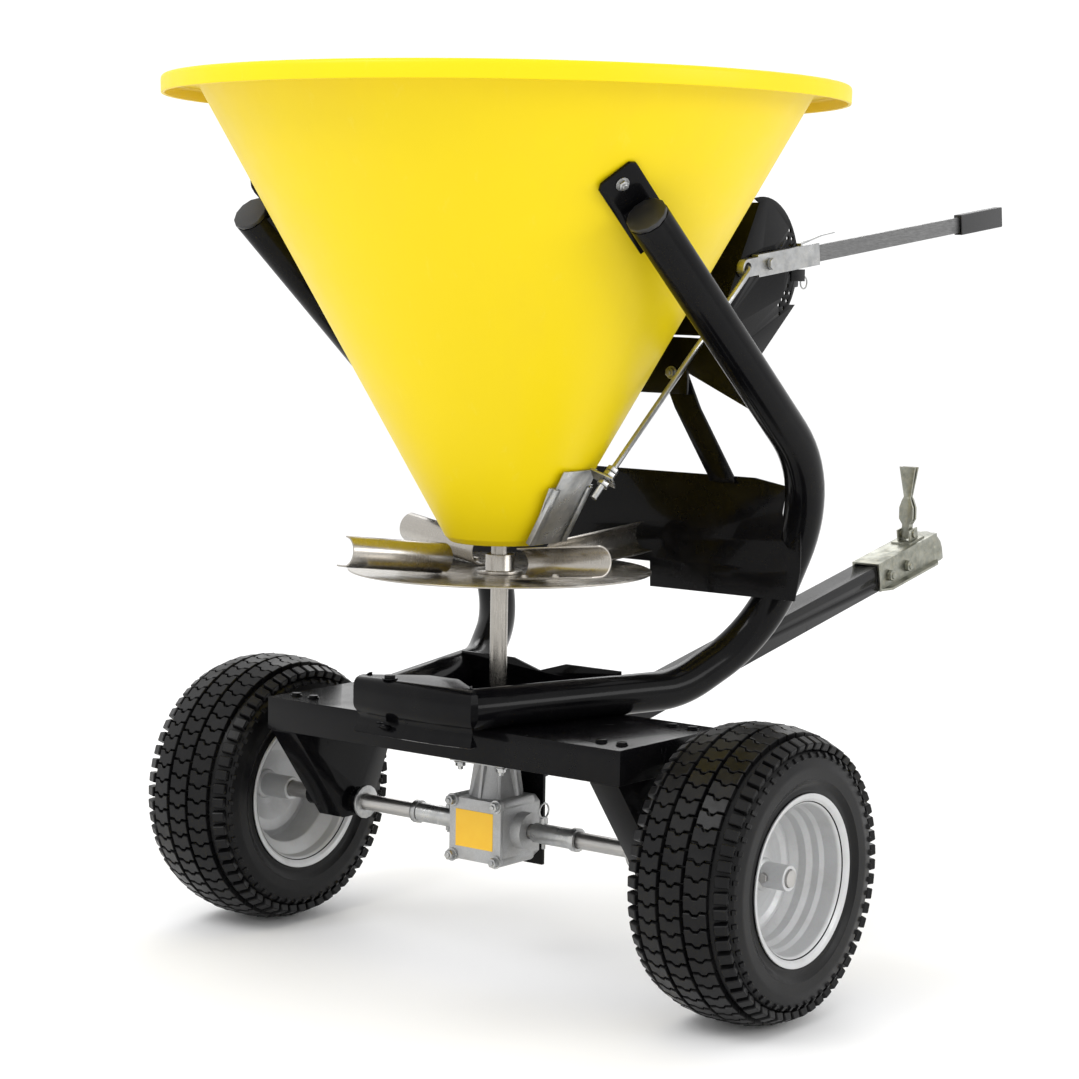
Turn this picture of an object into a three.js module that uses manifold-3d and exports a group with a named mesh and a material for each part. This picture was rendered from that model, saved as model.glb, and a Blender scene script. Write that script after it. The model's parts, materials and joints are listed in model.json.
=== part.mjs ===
// Tow-behind broadcast spreader: two ground-driven wheels turn a bevel gearbox, which spins a
// vaned disc under a conical hopper. Millimetres, +X towards the hitch, +Y left, +Z up.
// The parts are drawn in the machine frame, whose x = 0, z = 0 line is the wheel axle, and the
// whole group is then set down with the tyres on z = 0 and its box centred on the origin.
import * as THREE from 'three';
import { mergeVertices } from 'three/addons/utils/BufferGeometryUtils.js';
import Module from 'manifold-3d';

const wasm = await Module();
wasm.setup();

// ---------------------------------------------------------------- driving dimensions
const GAP = 0.3;                 // clearance between pieces that touch
const SHEET = 5;                 // structural sheet steel

const TYRE = { radius: 202, width: 163, wall: 9, bead: 104 };
const TRACK = 888.8;             // between the middles of the two tyres
const WHEEL_INNER = TRACK / 2 - TYRE.width / 2;
const HALF_SHAFT_R = 12;
const HUB_WALL = 5.5;
const RIM = { flangeR: 117, halfWidth: 77.5, wall: 3.5, wellR: 84, discY: 14,
  hubR: HALF_SHAFT_R + HUB_WALL, hubInset: 22 };

const HOPPER = { bottomR: 74.4, bottomZ: 411.5, lipZ: 1031.7, cone: 0.5602, lipR: 480.7, lipDrop: 25,
  wall: 6 };
const HOPPER_SIDES = 36;

const TUBE = { r: 28.5, wall: 3.2, sides: 12 };
const TUBE_KNEES = [[-145, 350, 868], [302, 346, 500], [316, 239, 274], [190, 183, 0], [-180, 70, 0]];
const TUBE_BENDS = [250, 156, 150];

const TRAY_TO_TYRE = 43.9;
const STRAP = { width: 60, beyond: 60, below: 76, corner: 7 };
const BASE = { rear: -140, front: 95, halfY: WHEEL_INNER - TRAY_TO_TYRE, top: 168, sheet: 4, skirt: 48 };
const TIE = { halfY: 146, below: 22, above: 61, dip: 14, dipHalf: 48 };
const NOSE = { behind: 3.676, beside: 8.743, point: 8, sideX: -176, frontX: -122, faceHalf: 48, lip: 18,
  boltIn: 14, boltY: 44 };
const HANGER = { inner: BASE.halfY - 52, footX: 30, footZ: -22, throat: 118 };
const BUSH_WALL = 2.2;
const AXLE_TUBE = { r: HALF_SHAFT_R + BUSH_WALL + 2.8, bore: HALF_SHAFT_R + BUSH_WALL,
  from: HANGER.inner - 15,
  to: WHEEL_INNER - 6.9 };

const BOX = { halfX: 42, halfY: 47, halfZ: 45, wall: 6, bossY: 64, bossR: 27 };
const NECK = { r: 24, flangeZ: 96, flangeT: 8, flangeHalf: 48 };
const COVER = { t: 6, bossR: 8.5, bossX: 8, pitchY: 40, pitchZ: 40 };
const GEAR = { crownTeeth: 24, pinionTeeth: 8, module: 2.7, face: 9, backlash: 1.0, pinionShaftR: 4 };
const CROSS_SHAFT_R = 10;
const SLEEVE = { r: HALF_SHAFT_R + 2.5, from: 73, to: 150, split: 105, collarR: HALF_SHAFT_R + 5,
  collarW: 9 };

const SPINNER = { shaftR: 12.5, stemR: 8, discR: 217, discZ: 364, sheet: 2.5, dishR: 120, dishRise: 6 };
const HUB = { r: 21, height: 27 };
const VANE = { r: 22, sheet: 2.5, from: 80, to: 254, offset: 31.8, rise: 6.5, azimuth: 257.8, seat: 0.5 };

const TONGUE = { size: 45, wall: 3.5, slope: 11.4, refX: 856, refZ: 239, rearX: 58, frontX: 1118 };
const DROP_PLATE = { x: 50.5, t: 6, halfY: 46, bottom: -60 };
const COUPLER = { startX: 1021, sheet: 4, depth: 50, lip: 14, ballR: 25.4, play: 1.5, ballX: 203 };
const JAW = { hingeS: -16, drop: 15, halfY: 9 };
const LATCH = { x: 146, height: 118, width: 32, waist: 14, sheet: 3 };

const SHIELD = { x: 277, t: 3, halfY: 329, top: 503, fold: 373, bottom: 331, notch: 76, corner: 62 };
const BRACE = { width: 44, t: 6, topY: 116, topZ: 662, footY: 196, footZ: 494 };
const CROSS = { frontX: 244, frontY: 148, endX: 157, top: 703, low: 640, wingLow: 652, endLow: 604 };

const PIVOT = { x: 360, z: 811 };
const QUADRANT = { y: -195, t: 3, r: 98, from: 104, to: -38, holeR: 3.4, holes: 11, step: 9, rimIn: 9 };
const LEVER = { tilt: 6.7, eyeX: -58, eyeR: 8.5, channelTo: 138, gripFrom: 578, gripTo: 712, bar: 25,
  barT: 8 };
const ROD = { r: 4.6, sides: 8 };
const SHUTTER = { halfU: 38, from: 6, to: 128, t: 2.5, windowHalf: 27, windowFrom: 12,
  windowTo: 58 };
const GUIDE = { halfU: 50, from: 8, to: 100, t: 2.5 };

// ---------------------------------------------------------------- solid helpers
const DEG = Math.PI / 180;

function toSolid(geometry) {
  const bare = geometry.clone();
  bare.deleteAttribute('normal');
  bare.deleteAttribute('uv');
  const merged = mergeVertices(bare, 1e-4);
  const vertProperties = Float32Array.from(merged.attributes.position.array);
  const triVerts = Uint32Array.from(merged.index.array);
  const made = new wasm.Manifold(new wasm.Mesh({ numProp: 3, vertProperties, triVerts }));
  if (made.volume() > 0) return made;
  for (let i = 0; i < triVerts.length; i += 3) [triVerts[i], triVerts[i + 1]] = [triVerts[i + 1],
    triVerts[i]];
  return new wasm.Manifold(new wasm.Mesh({ numProp: 3, vertProperties, triVerts }));
}

function toGeometry(solid) {
  const mesh = solid.asOriginal().simplify(0.02).getMesh();
  const geometry = new THREE.BufferGeometry();
  geometry.setAttribute('position', new THREE.BufferAttribute(Float32Array.from(mesh.vertProperties), 3));
  geometry.setIndex(new THREE.BufferAttribute(Uint32Array.from(mesh.triVerts), 1));
  return geometry;
}

const join = (...solids) => solids.reduce((all, next) => all.add(next));
const cut = (body, ...tools) => tools.reduce((all, next) => all.subtract(next), body);

function block(x0, x1, y0, y1, z0, z1) {
  const g = new THREE.BoxGeometry(x1 - x0, y1 - y0, z1 - z0);
  return toSolid(g.translate((x0 + x1) / 2, (y0 + y1) / 2, (z0 + z1) / 2));
}

// A plate with the outline given in the plane across its axis: (y, z), (x, z) or (x, y).
const PLATE_FRAMES = {
  x: [[0, 1, 0], [0, 0, 1], [1, 0, 0]],
  y: [[1, 0, 0], [0, 0, 1], [0, -1, 0]],
  z: [[1, 0, 0], [0, 1, 0], [0, 0, 1]],
};
function plate(outline, axis, low, high) {
  const drawn = outline instanceof THREE.Shape;
  const shape = drawn ? outline : new THREE.Shape(outline.map(([u, v]) => new THREE.Vector2(u, v)));
  const g = new THREE.ExtrudeGeometry(shape, { depth: high - low, bevelEnabled: false, curveSegments: 10 });
  const [u, v, w] = PLATE_FRAMES[axis].map((d) => new THREE.Vector3(...d));
  const start = axis === 'y' ? w.clone().multiplyScalar(-high) : w.clone().multiplyScalar(low);
  return toSolid(g.applyMatrix4(new THREE.Matrix4().makeBasis(u, v, w).setPosition(start)));
}

// Enough sides that a turning shaft's corners stay inside the flats of its clearance hole.
function sidesFor(r) {
  if (r < 6) return 12;
  return r < 50 ? 16 : 24;
}

// A round bar along one axis between two stations; at = its place on the other two axes, in order.
function bar(axis, r, low, high, at = [0, 0], sides = sidesFor(r)) {
  const g = new THREE.CylinderGeometry(r, r, high - low, sides).translate(0, (low + high) / 2, 0);
  if (axis === 'z') g.rotateX(Math.PI / 2).translate(at[0], at[1], 0);
  if (axis === 'x') g.rotateZ(-Math.PI / 2).translate(0, at[0], at[1]);
  if (axis === 'y') g.translate(at[0], 0, at[1]);
  return toSolid(g);
}

// A turned piece; the profile is a closed list of (radius, station) and turns about Y or Z.
function turned(profile, axis, sides = sidesFor(Math.max(...profile.map(([r]) => r)))) {
  const points = [...profile, profile[0]].map(([r, s]) => new THREE.Vector2(r, s));
  const g = new THREE.LatheGeometry(points, sides);
  if (axis === 'z') g.rotateX(Math.PI / 2);
  return toSolid(g);
}
const ring = (axis, r, bore, low, high) => turned([[bore, low], [r, low], [r, high], [bore, high]], axis);

function moved(solid, matrix) {
  return toSolid(toGeometry(solid).applyMatrix4(matrix));
}
const mirroredY = (solid) => moved(solid, new THREE.Matrix4().makeScale(1, -1, 1));

// A centreline as stations {at, aim}: straight runs joined by round bends of the given radii.
const BEND_STEP = 15 * DEG;
function bentLine(knees, bends = []) {
  const at = knees.map((k) => new THREE.Vector3(...k));
  const last = at.length - 1;
  const stations = [{ at: at[0], aim: at[1].clone().sub(at[0]).normalize() }];
  for (let i = 1; i < last; i++) {
    const back = at[i - 1].clone().sub(at[i]).normalize();
    const ahead = at[i + 1].clone().sub(at[i]).normalize();
    const open = back.angleTo(ahead);
    const before = stations[stations.length - 1].at;
    const reach = Math.min(bends[i - 1] / Math.tan(open / 2), 0.49 * at[i].distanceTo(at[i + 1]),
      0.98 * at[i].distanceTo(before));
    const centre = at[i].clone().addScaledVector(back.clone().add(ahead).normalize(),
      reach / Math.cos(open / 2));
    const out = at[i].clone().addScaledVector(back, reach).sub(centre);
    const axis = ahead.clone().cross(back).normalize().negate();
    const turn = Math.PI - open;
    const steps = Math.max(2, Math.ceil(turn / BEND_STEP));
    for (let k = 0; k <= steps; k++) {
      const arm = out.clone().applyAxisAngle(axis, -(turn * k) / steps);
      stations.push({ at: centre.clone().add(arm), aim: back.clone().negate().applyAxisAngle(axis,
        -(turn * k) / steps) });
    }
  }
  stations.push({ at: at[last], aim: at[last].clone().sub(at[last - 1]).normalize() });
  return stations;
}

// A round bar or, with a bore, a round tube along a list of stations.
function swept(r, stations, sides = sidesFor(r), bore = 0) {
  const first = stations[0].aim;
  let across = new THREE.Vector3(0, Math.abs(first.y) < 0.9 ? 1 : 0, Math.abs(first.y) < 0.9 ? 0 : 1);
  const outer = [];
  const inner = [];
  for (const { at, aim } of stations) {
    across = across.clone().addScaledVector(aim, -across.dot(aim)).normalize();
    const other = aim.clone().cross(across);
    for (let i = 0; i < sides; i++) {
      const a = (i / sides) * 2 * Math.PI;
      const arm = across.clone().multiplyScalar(Math.cos(a)).addScaledVector(other, Math.sin(a));
      outer.push(at.clone().addScaledVector(arm, r));
      inner.push(at.clone().addScaledVector(arm, bore));
    }
  }
  const points = bore > 0 ? [...outer, ...inner] : outer;
  const count = stations.length;
  const faces = [];
  const wall = (base, flip) => {
    for (let k = 0; k < count - 1; k++) {
      for (let i = 0; i < sides; i++) {
        const a = base + k * sides + i;
        const b = base + k * sides + ((i + 1) % sides);
        faces.push(...(flip ? [a, a + sides, b, b, a + sides, b + sides] : [a, b, a + sides, b, b + sides,
          a + sides]));
      }
    }
  };
  wall(0, false);
  const end = (count - 1) * sides;
  if (bore > 0) {
    const hole = count * sides;
    wall(hole, true);
    for (let i = 0; i < sides; i++) {
      const j = (i + 1) % sides;
      faces.push(i, hole + i, j, j, hole + i, hole + j);
      faces.push(end + i, end + j, hole + end + i, end + j, hole + end + j, hole + end + i);
    }
  } else {
    for (let i = 1; i < sides - 1; i++) faces.push(0, i + 1, i, end, end + i, end + i + 1);
  }
  const g = new THREE.BufferGeometry();
  g.setAttribute('position', new THREE.BufferAttribute(Float32Array.from(points.flatMap((p) => [p.x, p.y,
    p.z])), 3));
  g.setIndex(faces);
  return toSolid(g);
}

// ---------------------------------------------------------------- finishes
const finish = (color, roughness, metalness) => ({ color, roughness, metalness });
const BLACK = finish(0x141416, 0.35, 0.1);
const YELLOW = finish(0xf2dc18, 0.5, 0);
const ZINC = finish(0xb9bcbb, 0.35, 0.9);
const STAINLESS = finish(0xb8b0a2, 0.3, 1);
const SILVER = finish(0xb4b5b6, 0.45, 0.4);
const CAST = finish(0xa8aaab, 0.55, 0.5);
const RUBBER = finish(0x1c1c1d, 0.85, 0);
const STEEL = finish(0x9a9a98, 0.35, 1);
const PLASTIC = finish(0x1b1b1c, 0.6, 0);
const BRONZE = finish(0xa8793c, 0.4, 1);

const machine = new THREE.Group();
function add(name, solid, look, parent = machine) {
  const mesh = new THREE.Mesh(toGeometry(solid), new THREE.MeshStandardMaterial(look));
  mesh.name = name;
  parent.add(mesh);
}
// A right-hand piece, on the -Y side, and its mirrored left-hand twin.
function addPair(name, right, look) {
  add(`${name}_right`, right, look);
  add(`${name}_left`, mirroredY(right), look);
}
// A piece drawn about Y in the wheel's own stations (0 = tyre middle, + = outboard), for both sides.
function addWheelPair(name, outboardLeft, look) {
  const left = moved(outboardLeft, new THREE.Matrix4().makeTranslation(0, TRACK / 2, 0));
  add(`${name}_right`, mirroredY(left), look);
  add(`${name}_left`, left, look);
}

// ---------------------------------------------------------------- wheels
const seatR = TYRE.bead;                                  // where the tyre's beads sit on the rim
const tyreHalf = TYRE.width / 2;
const beadHalf = RIM.halfWidth - RIM.wall - GAP;
const tyreProfile = [
  [seatR + GAP, -beadHalf], [RIM.flangeR + 4, -beadHalf], [RIM.flangeR + 18, -tyreHalf + 3],
  [TYRE.radius - 46, -tyreHalf], [TYRE.radius - 16, -tyreHalf + 6], [TYRE.radius - 5, -tyreHalf + 20],
  [TYRE.radius, -tyreHalf / 3], [TYRE.radius, tyreHalf / 3], [TYRE.radius - 5, tyreHalf - 20],
  [TYRE.radius - 16, tyreHalf - 6], [TYRE.radius - 46, tyreHalf], [RIM.flangeR + 18, tyreHalf - 3],
  [RIM.flangeR + 4, beadHalf], [seatR + GAP, beadHalf], [seatR + GAP, beadHalf - 12],
  [RIM.flangeR + 10, tyreHalf - TYRE.wall - 6], [TYRE.radius - 24, tyreHalf - TYRE.wall - 10],
  [TYRE.radius - 13, 0],
  [TYRE.radius - 24, -tyreHalf + TYRE.wall + 10], [RIM.flangeR + 10, -tyreHalf + TYRE.wall + 6],
  [seatR + GAP, -beadHalf + 12],
];
addWheelPair('tyre', turned(tyreProfile, 'y'), RUBBER);

const w = RIM.wall;
const half = RIM.halfWidth;
const rimBarrel = turned([
  [RIM.flangeR, -half], [RIM.flangeR, -half + w], [seatR, -half + w], [seatR, -half + 20],
    [RIM.wellR, -half + 34],
  [RIM.wellR, half - 58], [seatR, half - 40], [seatR, half - w], [RIM.flangeR, half - w],
    [RIM.flangeR, half],
  [seatR - w, half], [seatR - w, half - 38], [RIM.wellR - w, half - 57], [RIM.wellR - w, -half + 35],
  [seatR - w, -half + 19], [seatR - w, -half],
], 'y');
const rimDisc = turned([
  [RIM.hubR - 3, RIM.discY - 4], [RIM.hubR + 14, RIM.discY - 4], [RIM.wellR - 22, RIM.discY - 20],
  [RIM.wellR - w + 1, RIM.discY - 20], [RIM.wellR - w + 1, RIM.discY - 20 + w],
  [RIM.wellR - 20, RIM.discY - 20 + w], [RIM.hubR + 15, RIM.discY], [RIM.hubR - 3, RIM.discY],
], 'y');
const hubBore = HALF_SHAFT_R + GAP;
const hubTube = ring('y', RIM.hubR, hubBore, -46, half - RIM.hubInset);
const hubPinY = RIM.discY + 12;
const hubPinHole = bar('x', 4 + GAP, -40, 40, [hubPinY, 0]);
addWheelPair('rim', cut(join(rimBarrel, rimDisc, hubTube), hubPinHole), SILVER);

// ---------------------------------------------------------------- half shafts, sleeves, bushes
const shaftEnd = TRACK / 2 + half - RIM.hubInset + 3;
const driveBoltY = -TRACK / 2 - hubPinY;
const driveBolt = join(bar('x', 4, -RIM.hubR - 5.5, RIM.hubR + 4.5, [driveBoltY, 0]),
  bar('x', 7.5, RIM.hubR + GAP, RIM.hubR + 5, [driveBoltY, 0], 6),
  bar('x', 7.5, -RIM.hubR - 6, -RIM.hubR - GAP, [driveBoltY, 0], 6));
addPair('half_shaft', join(bar('y', HALF_SHAFT_R, -shaftEnd, -SLEEVE.split - 1, [0, 0]), driveBolt), STEEL);

const sleeve = cut(
  join(bar('y', SLEEVE.r, -SLEEVE.to, -SLEEVE.from, [0, 0]),
    bar('y', SLEEVE.collarR, -SLEEVE.to, -SLEEVE.to + SLEEVE.collarW, [0, 0])),
  bar('y', CROSS_SHAFT_R + GAP, -SLEEVE.split, -SLEEVE.from + 1, [0, 0]),
  bar('y', HALF_SHAFT_R + GAP, -SLEEVE.to - 1, -SLEEVE.split + 0.5, [0, 0]),
  bar('z', 3 + GAP, -40, 40, [0, -SLEEVE.from - 14]));
add('shaft_sleeve_right', sleeve, ZINC);

const pinY = -SLEEVE.from - 14;
const lynchRing = toSolid(new THREE.TorusGeometry(11, 1.5, 6, 14).rotateX(Math.PI / 2).translate(0, pinY,
  SLEEVE.r + 19));
add('lynch_pin', join(bar('z', 3, -SLEEVE.r - 7, SLEEVE.r + 9, [0, pinY]),
  block(-4.5, 4.5, pinY - 4.5, pinY + 4.5, SLEEVE.r + GAP, SLEEVE.r + 9), lynchRing), ZINC);
// The left sleeve is never uncoupled: its bolt stays in.
const sleeveBolt = join(bar('z', 3, -SLEEVE.r - 8, SLEEVE.r + 6, [0, -pinY]),
  bar('z', 5.5, -SLEEVE.r - 5, -SLEEVE.r + 1, [0, -pinY], 6),
  bar('z', 5.5, SLEEVE.r - 1, SLEEVE.r + 4, [0, -pinY], 6));
add('shaft_sleeve_left', join(mirroredY(sleeve), sleeveBolt), ZINC);

const bush = cut(join(bar('y', AXLE_TUBE.r + 8, -AXLE_TUBE.from + GAP, -AXLE_TUBE.from + 4.5, [0, 0]),
  bar('y', AXLE_TUBE.bore - GAP, -AXLE_TUBE.from - 40, -AXLE_TUBE.from + 1, [0, 0])),
bar('y', HALF_SHAFT_R + GAP, -AXLE_TUBE.to, -AXLE_TUBE.from + 20, [0, 0]));
addPair('axle_bush', bush, ZINC);

// ---------------------------------------------------------------- base tray and axle hangers
const trayUnder = BASE.top - BASE.sheet;
const skirtLow = BASE.top - BASE.skirt;
const tray = cut(
  block(BASE.rear, BASE.front, -BASE.halfY, BASE.halfY, skirtLow, BASE.top),
  block(BASE.rear + BASE.sheet, BASE.front - BASE.sheet, -BASE.halfY + BASE.sheet, BASE.halfY - BASE.sheet,
    skirtLow - 1, trayUnder),
  bar('z', 20, 0, BASE.top + 1, [0, 0]));

const hangerTop = trayUnder - GAP;
const hangerRear = BASE.rear + BASE.sheet + GAP;
const hangerFront = BASE.front - BASE.sheet - GAP;
const hangerOuter = BASE.halfY - BASE.sheet - GAP;
const hangerSide = [[hangerRear, hangerTop], [hangerRear, HANGER.throat], [-HANGER.footX, HANGER.footZ],
  [HANGER.footX, HANGER.footZ], [hangerFront, HANGER.throat], [hangerFront, hangerTop]];
const slopeFace = (x, foot) => plate([[x, hangerTop], [x, HANGER.throat], [foot, HANGER.footZ],
  [foot + Math.sign(-foot) * SHEET, HANGER.footZ], [x + Math.sign(-foot) * SHEET, HANGER.throat],
  [x + Math.sign(-foot) * SHEET, hangerTop]], 'y', -hangerOuter, -HANGER.inner);
const hanger = cut(
  join(plate(hangerSide, 'y', -HANGER.inner - SHEET, -HANGER.inner),
    plate(hangerSide, 'y', -hangerOuter, -hangerOuter + SHEET),
    slopeFace(hangerRear, -HANGER.footX), slopeFace(hangerFront, HANGER.footX),
    bar('y', AXLE_TUBE.r, -AXLE_TUBE.to, -AXLE_TUBE.from, [0, 0])),
  bar('y', AXLE_TUBE.bore, -AXLE_TUBE.to - 1, -AXLE_TUBE.from + 1, [0, 0]));
addPair('axle_hanger', hanger, BLACK);

// ---------------------------------------------------------------- gearbox
const { halfX, halfY, halfZ } = BOX;
const bevelled = (a, b, c) => [[-a + c, -b], [a - c, -b], [a, -b + c], [a, b - c], [a - c, b], [-a + c, b],
  [-a, b - c], [-a, -b + c]];
const neckTop = NECK.flangeZ;
const neck = toSolid(new THREE.CylinderGeometry(NECK.r, NECK.r + 14, neckTop - halfZ + 4, 20)
  .rotateX(Math.PI / 2).translate(0, 0, (neckTop + halfZ - 4) / 2));
const neckRibs = [0, 45, 90, 135].map((turn) => moved(
  plate([[-40, halfZ - 3], [40, halfZ - 3], [NECK.r + 8, neckTop], [-NECK.r - 8, neckTop]], 'y', -2.5, 2.5),
  new THREE.Matrix4().makeRotationZ(turn * DEG)));
const sideBosses = join(bar('y', BOX.bossR, -BOX.bossY, BOX.bossY, [0, 0]));
const flange = block(-NECK.flangeHalf, NECK.flangeHalf, -NECK.flangeHalf, NECK.flangeHalf, neckTop,
  neckTop + NECK.flangeT);
const cornerLugs = [[-1, -1], [-1, 1], [1, -1], [1, 1]].map(([sy, sz]) =>
  bar('x', COVER.bossR, -halfX + GAP, halfX - 14, [sy * COVER.pitchY, sz * COVER.pitchZ]));
const bearingR = 21;
const coverBack = -halfX;
const housing = cut(
  join(plate(bevelled(halfY, halfZ, 9), 'x', coverBack, halfX), sideBosses, neck, ...neckRibs, flange,
    ...cornerLugs),
  plate(bevelled(halfY - BOX.wall, halfZ - BOX.wall, 7), 'x', coverBack - 1, halfX - BOX.wall),
  bar('y', bearingR + GAP, -BOX.bossY + 4, BOX.bossY - 4, [0, 0]),
  bar('y', CROSS_SHAFT_R + 1, -BOX.bossY - 1, BOX.bossY + 1, [0, 0]),
  bar('z', bearingR + GAP, halfZ + 4, neckTop - 2, [0, 0]),
  bar('z', SPINNER.stemR + 5, 0, neckTop + 1, [0, 0]),
  bar('z', SPINNER.shaftR + 1, neckTop - 3, neckTop + 20, [0, 0]));
add('gearbox_housing', housing, CAST);

const coverFace = coverBack - GAP;
const cover = join(plate(bevelled(halfY, halfZ, 9), 'x', coverFace - COVER.t, coverFace),
  ...[[-1, -1], [-1, 1], [1, -1], [1, 1]].map(([sy, sz]) =>
    bar('x', COVER.bossR, coverFace - COVER.bossX, coverFace, [sy * COVER.pitchY, sz * COVER.pitchZ])));
add('gearbox_cover', cover, CAST);

const bearing = (bore) => [[bore + GAP, -6], [bearingR, -6], [bearingR, 6], [bore + GAP, 6]];
const bearingY = BOX.bossY - 11;
addPair('cross_bearing', moved(turned(bearing(CROSS_SHAFT_R), 'y'),
  new THREE.Matrix4().makeTranslation(0, -bearingY, 0)), STEEL);
const lowBearingZ = halfZ + 11;
add('pinion_bearing', moved(turned(bearing(SPINNER.stemR), 'z'),
  new THREE.Matrix4().makeTranslation(0, 0, lowBearingZ)), STEEL);

// Straight bevel gears whose teeth all point at the crossing of the two shafts.
function bevelGear(teeth, otherTeeth, axis, across, phase, bore, backTo) {
  const { module: m, face, backlash } = GEAR;
  const pitchR = (m * teeth) / 2;
  const cone = Math.hypot(pitchR, (m * otherTeeth) / 2);
  const tilt = Math.atan2(teeth, otherTeeth);
  const inner = (cone - face) / cone;
  const low = 1.15 * m;
  const high = 0.8 * m;
  const pitchHalf = (Math.PI * m) / 4 - backlash / 2;
  const third = new THREE.Vector3().crossVectors(axis, across);
  const tooth = (angle) => {
    const e = across.clone().multiplyScalar(Math.cos(angle)).addScaledVector(third, Math.sin(angle));
    const side = new THREE.Vector3().crossVectors(axis, e);
    const g = axis.clone().multiplyScalar(Math.cos(tilt)).addScaledVector(e, Math.sin(tilt));
    const up = e.clone().multiplyScalar(Math.cos(tilt)).addScaledVector(axis, -Math.sin(tilt));
    const corner = (scale, h, half) => g.clone().multiplyScalar(cone * scale)
      .addScaledVector(up, h * scale).addScaledVector(side, half * scale);
    const section = (scale) => [corner(scale, -low - 0.4, pitchHalf + 0.42 * low),
      corner(scale, high, pitchHalf - 0.45 * high),
      corner(scale, high, -pitchHalf + 0.45 * high), corner(scale, -low - 0.4, -pitchHalf - 0.42 * low)];
    const ringA = section(inner);
    const ringB = section(1);
    const g3 = new THREE.BufferGeometry();
    g3.setAttribute('position', new THREE.BufferAttribute(
      Float32Array.from([...ringA, ...ringB].flatMap((p) => [p.x, p.y, p.z])), 3));
    g3.setIndex([0, 1, 2, 0, 2, 3, 4, 6, 5, 4, 7, 6, 0, 4, 5, 0, 5, 1, 1, 5, 6, 1, 6, 2, 2, 6, 7, 2, 7, 3,
      3, 7, 4, 3, 4, 0]);
    return toSolid(g3);
  };
  const root = (scale) => [cone * scale * Math.sin(tilt) - low * scale * Math.cos(tilt),
    cone * scale * Math.cos(tilt) + low * scale * Math.sin(tilt)];
  const [r1, s1] = root(1);
  const [r0, s0] = root(inner);
  const profile = [[bore, s0], [r0, s0], [r1, s1], [r1, Math.max(backTo, s1 + 2)],
    [bore, Math.max(backTo, s1 + 2)]];
  const blank = new THREE.LatheGeometry([...profile, profile[0]].map(([r, s]) => new THREE.Vector2(r, s)),
    teeth < 16 ? 18 : teeth);
  const basis = new THREE.Matrix4().makeBasis(across, axis, new THREE.Vector3().crossVectors(across, axis));
  const body = toSolid(blank.applyMatrix4(basis));
  const ringOfTeeth = Array.from({ length: teeth }, (_, i) => tooth(((i + phase) / teeth) * 2 * Math.PI));
  return join(body, ...ringOfTeeth);
}
const UP = new THREE.Vector3(0, 0, 1);
const LEFT = new THREE.Vector3(0, 1, 0);
add('crown_gear', bevelGear(GEAR.crownTeeth, GEAR.pinionTeeth, LEFT, UP, 0, CROSS_SHAFT_R + GAP, 24),
  STEEL);
add('pinion_gear', bevelGear(GEAR.pinionTeeth, GEAR.crownTeeth, UP, LEFT, 0.5, GEAR.pinionShaftR + GAP,
  40), STEEL);
add('cross_shaft', cut(bar('y', CROSS_SHAFT_R, -SLEEVE.split + 1, SLEEVE.split - 1, [0, 0]),
  bar('z', 3 + GAP, -30, 30, [0, pinY]), bar('z', 3 + GAP, -30, 30, [0, -pinY])), STEEL);

const spacerLow = neckTop + NECK.flangeT + GAP;
const spacerHalf = NECK.flangeHalf;
const pedestal = cut(block(-spacerHalf, spacerHalf, -spacerHalf, spacerHalf, spacerLow, trayUnder + 1),
  block(-spacerHalf + SHEET, spacerHalf - SHEET, -spacerHalf + SHEET, spacerHalf - SHEET, spacerLow - 1,
    trayUnder));
add('base_tray', cut(join(tray, pedestal), bar('z', 20, 0, BASE.top + 1, [0, 0])), BLACK);

// ---------------------------------------------------------------- spinner
const shaftTop = HOPPER.bottomZ + 44;
const pinionFoot = 28;
const shoulder = neckTop - 2.5;
add('spinner_shaft', join(bar('z', SPINNER.shaftR, shoulder, shaftTop, [0, 0]),
  bar('z', SPINNER.stemR, 40 + GAP, shoulder + 1, [0, 0]),
  bar('z', GEAR.pinionShaftR, pinionFoot - 4, 41, [0, 0])), STEEL);

const onShaft = SPINNER.shaftR + GAP;
const dz = SPINNER.discZ;
const sheet = SPINNER.sheet;
add('spinner_disc', turned([[onShaft, dz], [SPINNER.dishR, dz], [SPINNER.discR, dz + SPINNER.dishRise],
  [SPINNER.discR, dz + SPINNER.dishRise + sheet], [SPINNER.dishR, dz + sheet], [onShaft, dz + sheet]],
    'z'), STAINLESS);
const hubLow = dz + sheet + GAP;
add('spinner_hub', join(ring('z', HUB.r, onShaft, hubLow, hubLow + HUB.height),
  ring('z', HUB.r + 12, onShaft, hubLow, hubLow + 4)), STAINLESS);

// A half-pipe vane beside a line that misses the shaft, tipped up outwards.
const arc = (r, from, to, steps) => Array.from({ length: steps + 1 }, (_, i) => {
  const a = (from + ((to - from) * i) / steps) * DEG;
  return [r * Math.cos(a), r * Math.sin(a)];
});
const vaneSection = [...arc(VANE.r, -90, 90, 10), ...arc(VANE.r - VANE.sheet, 90, -90, 10)];
const vaneShape = new THREE.Shape(vaneSection.map(([u, v]) => new THREE.Vector2(u, v + VANE.r)));
const vaneLine = new THREE.ExtrudeGeometry(vaneShape, { depth: VANE.to - VANE.from, bevelEnabled: false,
  curveSegments: 8 });
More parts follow.
